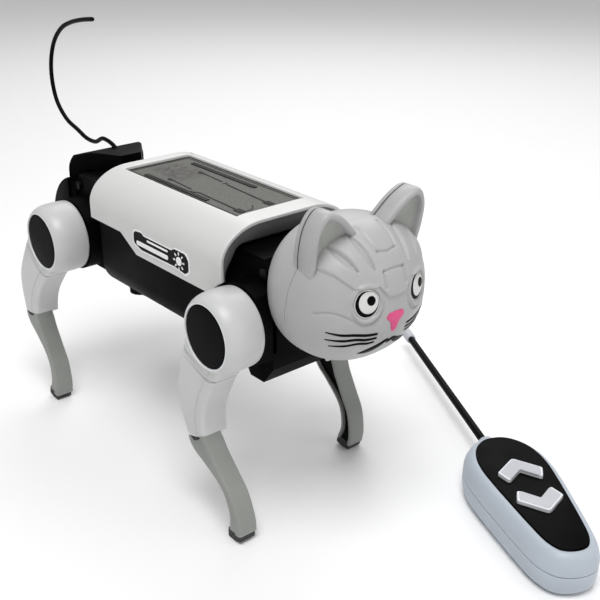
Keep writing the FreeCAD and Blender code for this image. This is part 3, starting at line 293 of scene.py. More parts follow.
def dress(name, mesh, finish, body, replaced, round_by, segments, solid, sharp):
    mesh.materials.clear()
    mesh.materials.append(FINISHES[finish])
    piece = bpy.data.objects.new(name, mesh)
    scene.collection.objects.link(piece)
    if solid:
        wall = piece.modifiers.new("wall", "SOLIDIFY")
        wall.thickness = solid * MM
        wall.offset = -1.0
        wall.use_even_offset = True
    if round_by:
        bevel = piece.modifiers.new("rounded", "BEVEL")
        bevel.width = round_by * MM
        bevel.segments = segments
        bevel.limit_method = "ANGLE"
        bevel.angle_limit = math.radians(sharp)
        bevel.harden_normals = True
    else:
        mesh.set_sharp_from_angle(angle=math.radians(sharp))
    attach(piece, body)
    if replaced:
        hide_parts(*replaced)
    return piece


BODY_OF = {node: body for body, nodes in record["behaviour"]["bodies"].items() for node in nodes}


def softened(node, round_by, finish, sharp=34.0):
    """The CAD piece itself with its edges rounded like a moulding's."""
    mesh = frame["nodes"][node].data.copy()
    bm = bmesh.new()
    bm.from_mesh(mesh)
    bmesh.ops.remove_doubles(bm, verts=bm.verts, dist=0.004 * MM)
    bmesh.ops.dissolve_limit(bm, angle_limit=math.radians(0.8), verts=bm.verts, edges=bm.edges)
    for face in bm.faces:
        face.smooth = True
    bm.to_mesh(mesh)
    bm.free()
    return dress(node + "_soft", mesh, finish, BODY_OF[node], [node], round_by, 3, 0.0, sharp)


def smooth_line(points, count, closed=False):
    """Evenly placed points on a smooth curve through the given ones."""
    given = np.array(points, float)
    if closed:
        padded = np.vstack([given[-1], given, given[0], given[1]])
    else:
        padded = np.vstack([2 * given[0] - given[1], given, 2 * given[-1] - given[-2]])
    runs = len(padded) - 3
    fine = []
    for run in range(runs):
        p0, p1, p2, p3 = padded[run:run + 4]
        for t in np.linspace(0, 1, 24, endpoint=False):
            fine.append(0.5 * (2 * p1 + (p2 - p0) * t + (2 * p0 - 5 * p1 + 4 * p2 - p3) * t ** 2
                               + (3 * p1 - p0 - 3 * p2 + p3) * t ** 3))
    fine.append(padded[-2])
    fine = np.array(fine)
    steps = np.concatenate([[0], np.cumsum(np.linalg.norm(np.diff(fine, axis=0), axis=1))])
    stations = np.linspace(0, steps[-1], count + 1)[:-1] if closed else np.linspace(0, steps[-1], count)
    return np.array([np.interp(stations, steps, fine[:, axis]) for axis in range(fine.shape[1])]).T


def paired_line(points, count):
    """Points on a smooth curve through the given ones, spaced by their number along the list."""
    given = np.array(points, float)
    padded = np.vstack([2 * given[0] - given[1], given, 2 * given[-1] - given[-2]])
    result = []
    for share in np.linspace(0, len(given) - 1, count):
        run = min(int(share), len(given) - 2)
        t = share - run
        p0, p1, p2, p3 = padded[run:run + 4]
        result.append(0.5 * (2 * p1 + (p2 - p0) * t + (2 * p0 - 5 * p1 + 4 * p2 - p3) * t ** 2
                             + (3 * p1 - p0 - 3 * p2 + p3) * t ** 3))
    return np.array(result)


def rounded(corners, segments=4):
    """A closed outline from (across, up, radius) corners, each turned into an arc."""
    result = []
    count = len(corners)
    for index, (across_, up_, radius) in enumerate(corners):
        corner = np.array([across_, up_])
        before = np.array(corners[index - 1][:2]) - corner
        after = np.array(corners[(index + 1) % count][:2]) - corner
        reach_before, reach_after = np.linalg.norm(before), np.linalg.norm(after)
        before, after = before / reach_before, after / reach_after
        half = math.acos(max(-1.0, min(1.0, float(before @ after)))) / 2
        reach = min(radius / math.tan(half), reach_before * 0.48, reach_after * 0.48)
        first, last = corner + before * reach, corner + after * reach
        for t in np.linspace(0, 1, segments + 1):
            result.append((1 - t) ** 2 * first + 2 * t * (1 - t) * corner + t ** 2 * last)
    return np.array(result)


def loft(rings, capped=True, closed=True):
    """Points and faces of a skin through rings that have equally many points each."""
    rings = [np.array(ring) for ring in rings]
    size = len(rings[0])
    points = [tuple(point) for ring in rings for point in ring]
    faces = []
    for level in range(len(rings) - 1):
        for index in range(size if closed else size - 1):
            after = (index + 1) % size
            base, above = level * size, (level + 1) * size
            faces.append((base + index, base + after, above + after, above + index))
    if capped:
        faces.append(tuple(range(size))[::-1])
        faces.append(tuple(range((len(rings) - 1) * size, len(rings) * size)))
    return points, faces


def slab(outline, low, high):
    """Points and faces of a flat plate: its outline across two axes, from low to high on the third."""
    bottom = [(a, b, low) for a, b in outline]
    top = [(a, b, high) for a, b in outline]
    return loft([bottom, top])


def axis_order(points, order):
    """Points with their coordinates put in another order, such as (2, 0, 1)."""
    return [tuple(point[index] for index in order) for point in points]


def revolved(profile, count=96):
    """A skin round the Y axis from (distance along Y, radius) pairs that start and end on the axis."""
    rings = []
    for along_y, radius in profile:
        angles = np.linspace(0, 2 * math.pi, count, endpoint=False)
        rings.append([(radius * math.cos(a), along_y, radius * math.sin(a)) for a in angles])
    return loft(rings, capped=False)


def tube(centres, radii, count=16):
    """A round tube along a line of centres, closed at both ends."""
    centres = np.array(centres, float)
    tangents = np.gradient(centres, axis=0)
    tangents /= np.linalg.norm(tangents, axis=1)[:, None]
    side = np.cross(tangents[0], [0, 0, 1.0])
    if np.linalg.norm(side) < 0.1:
        side = np.cross(tangents[0], [0, 1.0, 0])
    rings = []
    for centre, tangent, radius in zip(centres, tangents, radii):
        side = side - tangent * (side @ tangent)
        side /= np.linalg.norm(side)
        other = np.cross(tangent, side)
        angles = np.linspace(0, 2 * math.pi, count, endpoint=False)
        rings.append([centre + radius * (math.cos(a) * side + math.sin(a) * other) for a in angles])
    return loft(rings)


# ------------------------------------------------------------------ legs

LEG_STATIONS = 90
THIGH_REAR = [(-15.4, 4), (-17.2, -6), (-20.9, -17), (-24.5, -30.5), (-23.5, -40), (-18.6, -52)]
THIGH_FRONT = [(0, 4), (4.5, -13.4), (-0.6, -24), (-5.2, -34), (-6.9, -42), (-6.6, -49)]
SHIN_REAR = [(-18.8, -51.6), (-18.2, -55), (-14.6, -58.8), (-7.3, -62.2), (0.9, -66.6), (5.4, -70.9),
             (8.5, -78.3), (8.2, -85.4)]
SHIN_FRONT = [(-6.6, -48.4), (-6.0, -49.5), (-4.4, -51.4), (-1.6, -55.3), (5.2, -62.5), (11.5, -69.4),
              (15.7, -79.0), (16.6, -85.4)]
FOOT_OUTLINE = [(7.9, -85.0, 0.3), (16.3, -85.0, 0.3), (16.0, -88.46, 0.8), (12.0, -89.6, 2.0),
                (7.9, -89.5, 0.8)]
THIGH_SIDES = (33.4, 46.0)
SHIN_SIDES = (36.6, 45.8)


def leg_shell(rear, front, section, groove=None):
    """A shell lofted between a rear and a front curve; section gives its outline for a width."""
    rings = []
    for back, fore in zip(paired_line(rear, LEG_STATIONS), paired_line(front, LEG_STATIONS)):
        width = np.linalg.norm(fore - back)
        forward = (fore - back) / width
        ring = []
        for reach, side in section(width):
            place = back + forward * reach
            if groove is not None:
                depth = groove(place)
                if abs(reach - width / 2) > width / 2 - 1.5:
                    place = place + forward * (depth if reach < width / 2 else -depth)
                side = side - depth * (side > 40)
            ring.append((place[0], side, place[1]))
        rings.append(ring)
    return loft(rings)


def thigh_section(width):
    low, high = THIGH_SIDES
    return rounded([
        (0, low, 0.9), (0, high, 3.4), (width - 4.9, high, 0.2), (width - 4.5, high - 0.4, 0.2),
        (width - 4.1, high - 0.1, 0.2),
        (width, high - 0.6, 2.6), (width, low, 1.2), (width - 1.5, low, 0.3), (width - 1.9, low + 1.6, 0.3),
        (1.9, low + 1.6, 0.3), (1.5, low, 0.3),
    ])


def shin_section(width):
    low, high = SHIN_SIDES
    return rounded([
        (0, low, 0.7), (0, high - 0.7, 1.4), (width - 3.3, high - 0.7, 0.2), (width - 2.9, high, 0.3),
        (width, high, 1.3), (width, low, 1.0), (width - 1.5, low, 0.3), (width - 1.8, low + 2.2, 0.3),
        (1.6, low + 2.2, 0.3), (1.3, low, 0.3),
    ])


def inlay_section(low, rim):
    def section(width):
        return rounded([(rim, low, 0.2), (rim, low + 0.8, 0.2), (width - rim, low + 0.8, 0.2),
                        (width - rim, low, 0.2)], 2)
    return section


def collar_groove(place):
    """The seam that runs round the hip ring across the top of the thigh."""
    return 0.75 * math.exp(-((math.hypot(*place) - 20.2) / 0.42) ** 2)


RING_PROFILE = [
    (44.5, 0.0), (44.5, 14.2), (31.1, 14.2), (31.0, 14.4), (31.0, 15.6), (31.15, 15.9), (31.5, 16.15),
    (32.2, 16.32), (34.0, 16.46),
    (37.0, 16.55), (40.0, 16.5), (42.2, 16.3), (43.8, 15.95), (45.1, 15.45), (46.1, 14.9), (46.9, 14.3),
    (47.3, 13.85),
    (47.5, 13.55), (47.55, 13.35), (47.5, 13.15), (47.3, 13.0), (46.1, 12.95), (46.1, 0.0),
]
LIP_PROFILE = [(47.2, 12.9), (47.55, 12.95), (47.66, 13.15), (47.62, 13.4), (47.45, 13.55), (47.1, 13.4),
               (47.2, 12.9)]
CAP_PROFILE = [(46.12, 0.0), (46.12, 12.85), (46.85, 12.85), (47.0, 12.75), (47.1, 12.45), (47.2, 11.0),
               (47.32, 7.0), (47.38, 3.0), (47.4, 0.0)]


def place_leg(points, side, hip, swing):
    """Moves leg points from the hip axis to where the leg stands, mirrored for the right side."""
    turn_cos, turn_sin = math.cos(swing), math.sin(swing)
    return [
        (hip[0] + x * turn_cos + z * turn_sin, side * y, hip[2] - x * turn_sin + z * turn_cos)
        for x, y, z in points
    ]


def build_leg(name, side, end):
    body = name + "_leg"
    hip = np.array(joint_place["%s_right_hip" % end if side == RIGHT else "%s_left_hip" % end]) / MM
    set_back = (side == LEFT) == (end == "front")
    swing = math.radians(15.2) if set_back else 0.0

    def piece(label, shape, finish, slot, replaced=(), **options):
        points, faces = shape
        make_piece(name + label, place_leg(points, side, hip, swing), faces, finish, body, slot, replaced,
                   **options)

    nodes = {part: "%s_%s" % (name, part) for part in ("thigh_inner", "thigh_outer", "shin_inner",
                                                       "shin_outer", "foot_pad", "hip_cap")}
    piece("_hip_ring", revolved(RING_PROFILE), "light_grey_plastic", "light_grey_plastic", sharp=50.0)
    # A thin real lip round the ring's outer edge. Its lighter finish is a painted highlight that stands for the
    # bright outline along that edge.
    piece("_hip_lip", revolved(LIP_PROFILE), "button_edge_plastic", "light_grey_plastic", sharp=60.0)
    piece("_hip_disc", revolved(CAP_PROFILE), "black_gloss_plastic", "black_gloss_plastic",
          [nodes["hip_cap"]], sharp=50.0)
    piece("_thigh_shell", leg_shell(THIGH_REAR, THIGH_FRONT, thigh_section, collar_groove),
          "light_grey_plastic",
          "light_grey_plastic", [nodes["thigh_outer"]])
    piece("_thigh_inlay", leg_shell(THIGH_REAR, THIGH_FRONT, inlay_section(THIGH_SIDES[0] + 0.9, 1.75)),
          "black_plastic",
          "black_plastic", [nodes["thigh_inner"]])
    piece("_shin_shell", leg_shell(SHIN_REAR, SHIN_FRONT, shin_section), "shin_grey_plastic",
          "shin_grey_plastic", [nodes["shin_outer"]])
    piece("_shin_inlay", leg_shell(SHIN_REAR, SHIN_FRONT, inlay_section(SHIN_SIDES[0] + 1.5, 1.5)),
          "black_plastic",
          "black_plastic", [nodes["shin_inner"]])
    points, faces = slab(rounded(FOOT_OUTLINE), 37.4, 45.0)
    piece("_sole", (axis_order(points, (0, 2, 1)), faces), "foot_rubber", "foot_rubber", [nodes["foot_pad"]],
          round_by=0.35)
    notch = rounded([(-15.6, -51.3, 0.3), (-12.2, -50.9, 0.5), (-9.2, -49.2, 0.4), (-9.9, -51.0, 0.5),
                     (-12.6, -52.6, 0.6)])
    points, faces = slab(notch, 44.6, 46.08)
    piece("_knee_notch", (axis_order(points, (0, 2, 1)), faces), "seam_shadow", "black_plastic", round_by=0.1)


for end in ("front", "rear"):
    for side, side_name in ((LEFT, "left"), (RIGHT, "right")):
        build_leg("%s_%s" % (end, side_name), side, end)

# ------------------------------------------------------------------ top cover

COVER_REAR, COVER_FRONT = -41.0, 57.0
COVER_HALF, COVER_TOP = 33.4, 126.3
SHOULDER_Z, SHOULDER_Y, SHOULDER_WIDE = 112.0, 13.0, 20.4
HIP = np.array(joint_place["front_right_hip"]) / MM
PANEL_X = (panel_low[0], panel_high[0])
PANEL_HALF = panel_high[1]


def cover_bottom(x):
    """Height of the cover's lower edge along the robot."""
    low = float(np.interp(x, [-41, -16, -4, 57], [105.0, 105.0, 98.0, 98.0]))
    reach = 17.3 ** 2 - (HIP[0] - x) ** 2
    return max(low, HIP[2] + math.sqrt(reach)) if reach > 0 else low


def cover_section(x):
    """The cover's outer line at one station, from the right lower edge over the top to the left."""
    half = []
    for z in np.linspace(cover_bottom(x), SHOULDER_Z, 10):
        half.append((COVER_HALF, z))
    hole_angle = math.acos((PANEL_HALF - SHOULDER_Y) / SHOULDER_WIDE)
    for angle in np.linspace(0, hole_angle, 20)[1:]:
        half.append((SHOULDER_Y + SHOULDER_WIDE * math.cos(angle),
                     SHOULDER_Z + (COVER_TOP - SHOULDER_Z) * math.sin(angle)))
    for angle in np.linspace(hole_angle, math.pi / 2, 4)[1:]:
        half.append((SHOULDER_Y + SHOULDER_WIDE * math.cos(angle),
                     SHOULDER_Z + (COVER_TOP - SHOULDER_Z) * math.sin(angle)))
    half += [(SHOULDER_Y * share, COVER_TOP) for share in (0.66, 0.33)]
    right = [(x, -y, z) for y, z in half]
    left = [(x, y, z) for y, z in reversed(half)]
    return right + [(x, 0.0, COVER_TOP)] + left


stations = sorted(set(
    list(np.linspace(COVER_REAR, PANEL_X[0], 5)) + list(np.linspace(PANEL_X[0], -16,
                                                                    8)) + list(np.linspace(-16, -4, 7))
    + list(np.linspace(-4, PANEL_X[1], 20)) + list(np.linspace(PANEL_X[1], COVER_FRONT, 16))))
sections = [cover_section(x) for x in stations]
points, faces = loft(sections, capped=False, closed=False)
kept = []
for face in faces:
    middle = np.mean([points[index] for index in face], axis=0)
    over_panel = PANEL_X[0] < middle[0] < PANEL_X[1] and abs(middle[1]) < PANEL_HALF and middle[2] > 120
    if not over_panel:
        kept.append(face)
make_piece("cover_shell", points, kept, "white_cover_plastic", "torso", "white_cover_plastic", ["top_cover"],
                   solid=1.7, round_by=0.5, sharp=38.0)


def arch_line(inset, count=61):
    """The cover's section drawn in by inset, spaced evenly."""
    line = []
    for z in (100.0, SHOULDER_Z):
        line.append((COVER_HALF - inset, z))
    for angle in np.linspace(0, math.pi / 2, 16)[1:]:
        line.append((SHOULDER_Y + (SHOULDER_WIDE - inset) * math.cos(angle),
                     SHOULDER_Z + (COVER_TOP - SHOULDER_Z - inset) * math.sin(angle)))
    whole = [(-y, z) for y, z in line] + [(y, z) for y, z in reversed(line)]
    steps = np.concatenate([[0], np.cumsum(np.linalg.norm(np.diff(np.array(whole), axis=0), axis=1))])
    wanted = np.linspace(0, steps[-1], count)
    return np.array([np.interp(wanted, steps, np.array(whole)[:, axis]) for axis in (0, 1)]).T


def opening_line(grow, count=61):
    """The arch's opening: sloped shoulders and a flat top."""
    corners = rounded([(-33, 60, 0), (-30.6 - grow, 104.0, 6), (-22.5 - grow * 0.6, 117.0 + grow, 5),
                       (22.5 + grow * 0.6, 117.0 + grow, 5),
                       (30.6 + grow, 104.0, 6), (33, 60, 0)], 8)
    line = np.array([p for p in corners if p[1] > 99.0])
    steps = np.concatenate([[0], np.cumsum(np.linalg.norm(np.diff(line, axis=0), axis=1))])
    wanted = np.linspace(0, steps[-1], count)
    return np.array([np.interp(wanted, steps, line[:, axis]) for axis in (0, 1)]).T


def at_station(line, x):
    return [(x, y, max(z, cover_bottom(min(x, 56.9)) + 0.2)) for y, z in line]


arch_rings = [
    at_station(arch_line(1.75), 50.0), at_station(arch_line(1.0), 56.0), at_station(arch_line(1.3), 56.7),
    at_station(arch_line(2.4), 56.5), at_station(opening_line(1.6), 55.2),
    at_station(opening_line(0.6), 54.4),
    at_station(opening_line(0.0), 53.4), at_station(opening_line(0.0), 50.0),
    at_station(arch_line(1.75), 50.0),
]
points, faces = loft(arch_rings, capped=False, closed=False)
size = len(arch_rings[0])
faces.append(tuple(level * size for level in range(len(arch_rings) - 1)))
faces.append(tuple(level * size + size - 1 for level in range(len(arch_rings) - 1))[::-1])
# The arch gets the darker copy of the white cover plastic as painted shade. Its slot stays white_cover_plastic.
make_piece("cover_arch", points, faces, "arch_painted_shade_plastic", "torso", "white_cover_plastic", sharp=30.0)

# Small dark vent slot near the rear of the far shoulder.
points, faces = slab(rounded([(-38.5, 20.5, 0.3), (-37.6, 20.5, 0.3), (-37.6, 28.5, 0.3),
                              (-38.5, 28.5, 0.3)]), 0, 0.5)
lifted = []
for x, y, z in points:
    shoulder = SHOULDER_Z + (COVER_TOP - SHOULDER_Z) * math.sqrt(max(0.0,
                                                                     1 - ((y - SHOULDER_Y) / SHOULDER_WIDE) ** 2))
    lifted.append((x, y, shoulder - 0.35 + z))
make_piece("cover_vent_slot", lifted, faces, "seam_shadow", "torso", "black_plastic")

# ------------------------------------------------------------------ solar panel

PANEL_TOP = panel_high[2]
points, faces = slab(rounded([(PANEL_X[0], -PANEL_HALF, 0.8), (PANEL_X[1], -PANEL_HALF, 0.8),
                              (PANEL_X[1], PANEL_HALF, 0.8), (PANEL_X[0], PANEL_HALF, 0.8)]), panel_low[2],
                              PANEL_TOP)
make_piece("panel_film", points, faces, "solar_cell", "torso", "solar_cell", ["solar_panel"], round_by=0.15)


def panel_strip(name, line, width, height=0.14):
    """A thin printed line on the panel along a few points."""
    line = np.array(line, float)
    tangents = np.gradient(line, axis=0)
    tangents /= np.linalg.norm(tangents, axis=1)[:, None]
    normals = np.stack([-tangents[:, 1], tangents[:, 0]], axis=1)
    left_side, right_side = line + normals * width / 2, line - normals * width / 2
    outline = list(left_side) + list(right_side[::-1])
    points, faces = slab(outline, PANEL_TOP - 0.05, PANEL_TOP + height)
    make_piece(name, points, faces, "panel_line_print", "torso", "solar_cell", round_by=0.05)


def panel_plate(name, low, high, height=0.16):
    outline = rounded([(low[0], low[1], 0.3), (high[0], low[1], 0.3), (high[0], high[1], 0.3),
                       (low[0], high[1], 0.3)])
    points, faces = slab(outline, PANEL_TOP - 0.05, PANEL_TOP + height)
    make_piece(name, points, faces, "panel_line_print", "torso", "solar_cell", round_by=0.05)


panel_plate("panel_bar_right", (-24.0, -14.6), (22.0, -12.3), 0.32)
panel_plate("panel_bar_left", (-24.8, 11.0), (21.5, 13.3), 0.32)
panel_strip("panel_trace_right_rear", [(-12.5, -9.0), (-10, -9.0), (5.6, -10.0)], 0.7)
panel_plate("panel_pad_right_rear", (-12.8, -10.0), (-9.8, -8.3))
panel_strip("panel_trace_right", [(7.6, -11.6), (9.6, -11.6), (11.2, -10.2), (12.4, -10.2), (39.5, -11.3)],
            0.9)
panel_plate("panel_pad_right", (38.4, -13.0), (43.2, -9.6))
panel_strip("panel_curl", [(42.0, -8.8), (42.6, -6.8), (41.4, -5.0), (38.6, -3.2)], 0.45)
panel_strip("panel_trace_left_rear", [(-12.0, 6.9), (-9.5, 7.0), (5.7, 6.1)], 0.7)
panel_plate("panel_pad_left_rear", (-12.4, 6.0), (-9.6, 7.7))
panel_strip("panel_trace_left", [(8.4, 4.4), (8.8, 6.6), (10.6, 5.2), (39.5, 3.6)], 0.9)
panel_plate("panel_pad_left", (38.4, 2.0), (43.2, 5.2))
for inset, width in ((0.5, 0.5), (2.0, 0.3)):
    ends = (PANEL_X[0] + inset, PANEL_X[1] - inset)
    half = PANEL_HALF - inset
    for label, side in (("left", 1), ("right", -1)):
        panel_strip("panel_edge_%s_%d" % (label, inset * 10),
                    [(ends[0], side * half), (ends[1], side * half)], width)
    for label, x in (("rear", ends[0]), ("front", ends[1])):
        if label == "rear" or inset < 1:
            panel_strip("panel_edge_%s_%d" % (label, inset * 10), [(x, -half), (x, half)], width)

# ------------------------------------------------------------------ side badges

BADGE_OUTLINE = [
    (-4.9, 103.6, 2.0), (-4.9, 109.4, 2.6), (1.5, 110.1, 2.0), (3.2, 108.9, 1.5), (24.0, 108.9, 1.5),
    (26.0, 110.2, 2.0),
    (34.0, 110.2, 2.6), (36.1, 107.6, 1.6), (36.1, 102.6, 1.8), (33.4, 100.9, 1.8), (26.0, 102.0, 1.5),
    (1.0, 101.6, 2.0),
]


def grown(outline, share):
    centre = np.mean(np.array(outline), axis=0)
    return [tuple(centre + (np.array(p) - centre) * np.array([1 + share / 20.5,
                                                              1 + share / 4.6])) for p in outline]


def badge_piece(name, outline, side, low, high, finish, replaced=(), round_by=0.08):
    points, faces = slab(outline, low, high)
    placed = [(x, side * depth, z) for x, z, depth in points]
    make_piece(name, placed, faces, finish, "torso", "badge_print", replaced, round_by=round_by)


def bar(low, high, radius):
    return rounded([(low[0], low[1], radius), (high[0], low[1], radius), (high[0], high[1], radius),
                    (low[0], high[1], radius)])


for side, label in ((LEFT, "left"), (RIGHT, "right")):
    outline = rounded(BADGE_OUTLINE)
    face = COVER_HALF
    badge_piece("badge_rim_" + label, grown(outline, 0.45), side, face - 0.3, face + 0.22,
                "badge_white_print",
                ["side_badges"] if side == LEFT else [])
    badge_piece("badge_plate_" + label, grown(outline, -0.35), side, face - 0.3, face + 0.34, "badge_print")
    badge_piece("badge_long_bar_" + label, bar((-2.2, 103.6), (21.5, 105.6), 0.9), side, face, face + 0.5,
                "badge_white_print")
    badge_piece("badge_short_bar_" + label, bar((6.0, 107.0), (21.5, 107.9), 0.4), side, face, face + 0.5,
                "badge_white_print")
    sun = [(29.3 + 1.9 * math.cos(a), 105.6 + 1.9 * math.sin(a)) for a in np.linspace(0, 2 * math.pi, 32,
                                                                                      endpoint=False)]
    badge_piece("badge_sun_" + label, sun, side, face, face + 0.5, "badge_white_print")
    for ray in range(8):
        angle = ray * math.pi / 4
        outwards = np.array([math.cos(angle), math.sin(angle)])
        beside = np.array([-outwards[1], outwards[0]]) * 0.32
        centre = np.array([29.3, 105.6])
        spoke = [centre + outwards * 2.6 - beside, centre + outwards * 3.9 - beside,
                 centre + outwards * 3.9 + beside, centre + outwards * 2.6 + beside]
        badge_piece("badge_ray_%s_%d" % (label, ray), [tuple(p) for p in spoke], side, face, face + 0.5,
                    "badge_white_print", round_by=0.05)

# ------------------------------------------------------------------ black torso pieces

for node, round_by in (
        ("front_gearbox_left_case", 0.9), ("front_gearbox_right_case", 0.9), ("rear_gearbox_left_case", 0.9),
        ("rear_gearbox_right_case", 0.9), ("belly_shell", 0.7), ("tail_housing", 0.9), ("battery_door", 0.5),
        ("power_knob", 0.6), ("neck_mount", 0.6), ("neck_socket", 0.5)):
    softened(node, round_by, "black_plastic")

# ------------------------------------------------------------------ tail antenna

TAIL_ROUTE = [
    (-67.0, 121.6), (-73.5, 124.9), (-78.6, 126.2), (-84.2, 126.2), (-91.0, 123.2), (-99.5, 123.2),
    (-108.5, 125.9), (-118.8, 129.2), (-127.2, 136.4), (-130.4, 146.4), (-129.3, 157.0),
    (-124.0, 167.0), (-115.2, 174.4), (-105.0, 178.4), (-93.8, 180.9), (-82.6, 182.5),
]
line = smooth_line([(x, 0.0, z) for x, z in TAIL_ROUTE], 220)
radii = np.full(len(line), 1.05)
radii[-3:] = (1.0, 0.8, 0.35)
points, faces = tube(line, radii)
make_piece("tail_wire", points, faces, "black_wire", "torso", "black_wire", ["tail_antenna"], sharp=60.0)

# ------------------------------------------------------------------ head

HEAD = np.array([91.5, 0.0, 107.0])
HEAD_AXES = np.array([26.2, 30.4, 27.5])
HEAD_POWER = 2.25
SEAM_X = 91.8
SEAM_LEAN = 0.17
REAR_X = 75.2


def on_head(y, z):
    """The point of the bare head's front with this y and z."""
    left_over = 1 - abs(y / HEAD_AXES[1]) ** HEAD_POWER - abs((z - HEAD[2]) / HEAD_AXES[2]) ** HEAD_POWER
    return np.array([HEAD[0] + HEAD_AXES[0] * max(left_over, 0.0) ** (1 / HEAD_POWER), y, z])


def head_normal(points):
    offset = (points - HEAD) / HEAD_AXES
    normal = np.sign(offset) * np.abs(offset) ** (HEAD_POWER - 1) / HEAD_AXES
    return normal / np.linalg.norm(normal, axis=1)[:, None]


def distance_to(points, line):
    """Distance of each point to a line of points, and how far along the line that is, from 0 to 1."""
    best = np.full(len(points), 1e9)
    share = np.zeros(len(points))
    runs = len(line) - 1
    for index in range(runs):
        start, step = line[index], line[index + 1] - line[index]
        t = np.clip(((points - start) @ step) / (step @ step), 0, 1)
        gap = np.linalg.norm(points - start - t[:, None] * step, axis=1)
        closer = gap < best
        best[closer] = gap[closer]
        share[closer] = (index + t[closer]) / runs
    return best, share


BROW_Y = [0, 4.0, 5.6, 7.6, 12.0, 16.8, 19.3, 21.3, 23.5, 40]
BROW_Z = [111.6, 112.0, 113.6, 116.3, 116.0, 116.8, 119.2, 121.4, 122.6, 126.0]
# Grooves of the face as (y, z) lines with a half width and a depth, on the left side; the right side mirrors them.
GROOVES = [
    ([(18.4, 128.9), (16.8, 126.4), (14.2, 122.2)], 0.85, 1.35, "lens"),
    ([(10.2, 131.6), (9.2, 127.4), (8.2, 121.9)], 0.85, 1.35, "lens"),
    ([(5.4, 133.0), (5.0, 129.8), (4.3, 126.8)], 0.55, 0.7, "even"),
    ([(4.3, 126.8), (0.0, 126.2)], 0.55, 0.7, "even"),
    ([(4.9, 115.4), (4.7, 120.7)], 0.6, 0.8, "even"),
    ([(4.7, 120.7), (0.0, 121.0)], 0.5, 0.6, "even"),
    ([(27.6, 107.4), (25.2, 108.2), (22.7, 107.8), (19.6, 106.2), (17.4, 104.7)], 0.5, 0.5, "even"),
    ([(18.2, 111.5), (18.0, 107.6), (16.2, 104.2), (12.8, 102.7), (9.4, 103.6), (7.0, 106.6), (6.4, 110.0)],
     0.5, 0.6, "even"),
]
EYE_PLACE = (12.6, 110.8)
EYE_SIZE = (4.7, 5.3)


def lift_of(points):
    """How far the finished face stands out of the bare head at each point."""
    side_y, z = np.abs(points[:, 1]), points[:, 2]
    front = 1 / (1 + np.exp(-(points[:, 0] - 96.0) / 1.2))
    brow = np.interp(side_y, BROW_Y, BROW_Z)
    step = np.clip((z - brow) / 0.9 + 0.5, 0, 1)
    lift = 0.85 * step * step * (3 - 2 * step) * front
    folded = points.copy()
    folded[:, 1] = side_y
    for line_, half, depth, kind in GROOVES:
        surface = smooth_line([on_head(y, z_) for y, z_ in line_], 24)
        gap, share = distance_to(folded, surface)
        width = half * (0.35 + 1.0 * np.sin(np.pi * share) ** 0.8) if kind == "lens" else np.full(len(share),
                                                                                                  half)
        lift = lift - depth * np.exp(-(gap / width) ** 2) * (0.5 + 0.5 * np.minimum(1, width / half))
    centre = on_head(*EYE_PLACE)
    offset = folded - centre
    radius = np.sqrt((offset[:, 1] / EYE_SIZE[0]) ** 2 + (offset[:, 2] / EYE_SIZE[1]) ** 2)
    near = np.exp(-((offset[:, 0]) / 9.0) ** 2) * (points[:, 0] > 100)
    lift = lift + near * (0.75 * np.exp(-((radius - 1.22) / 0.16) ** 2) - 0.55 * (radius < 1.06))
    return lift


FACE_RINGS, FACE_COUNT = 190, 420


around = np.linspace(0, 2 * math.pi, FACE_COUNT, endpoint=False)
AROUND = np.stack([np.cos(around), np.sin(around)], axis=1)


def ring_reach(inset):
    """How far the widest section reaches in each direction, drawn in by inset."""
    return (np.abs(AROUND[:, 0] / (HEAD_AXES[1] - inset)) ** HEAD_POWER
            + np.abs(AROUND[:, 1] / (HEAD_AXES[2] - inset)) ** HEAD_POWER) ** (-1 / HEAD_POWER)


def head_ring(x, inset=0.0):
    """The head's section at a station, or at one station per direction, drawn in by inset."""
    x = np.full(FACE_COUNT, x) if np.isscalar(x) else x
    left_over = np.maximum(1e-6, 1 - np.abs((x - HEAD[0]) / (HEAD_AXES[0] - inset)) ** HEAD_POWER)
    reach = ring_reach(inset) * left_over ** (1 / HEAD_POWER)
    return np.column_stack([x, HEAD[1] + AROUND[:, 0] * reach, HEAD[2] + AROUND[:, 1] * reach])


# The seam leans forward towards the top; stations run from it to the nose, closer together near the nose.
seam = SEAM_X + SEAM_LEAN * ring_reach(0.0) * AROUND[:, 1]
seam_turn = np.arcsin((seam - HEAD[0]) / HEAD_AXES[0])
face_levels = []
for share in np.linspace(0, 1, FACE_RINGS)[:-1]:
    ring = head_ring(HEAD[0] + HEAD_AXES[0] * np.sin(seam_turn + share * (math.pi / 2 - seam_turn)))
    ring = ring + head_normal(ring) * lift_of(ring)[:, None]
    face_levels.append(ring)
nose_tip = np.tile(HEAD + np.array([HEAD_AXES[0], 0, 0]), (FACE_COUNT, 1))
face_levels.append(nose_tip)
inner = [head_ring(np.maximum(x, seam + 0.4), 2.0) for x in (113.5, 110.0, 104.0, 99.0)]
inner.append(head_ring(seam + 0.15, 2.0))
inner_tip = np.tile(HEAD + np.array([HEAD_AXES[0] - 2.2, 0, 0]), (FACE_COUNT, 1))
face_levels[0] = head_ring(seam + 0.45)
points, faces = loft([inner_tip] + inner + [head_ring(seam + 0.15, 0.25)] + face_levels, capped=False)
make_piece("face", points, faces, "head_grey_plastic", "head", "head_grey_plastic", ["face_shell"],
           sharp=60.0)

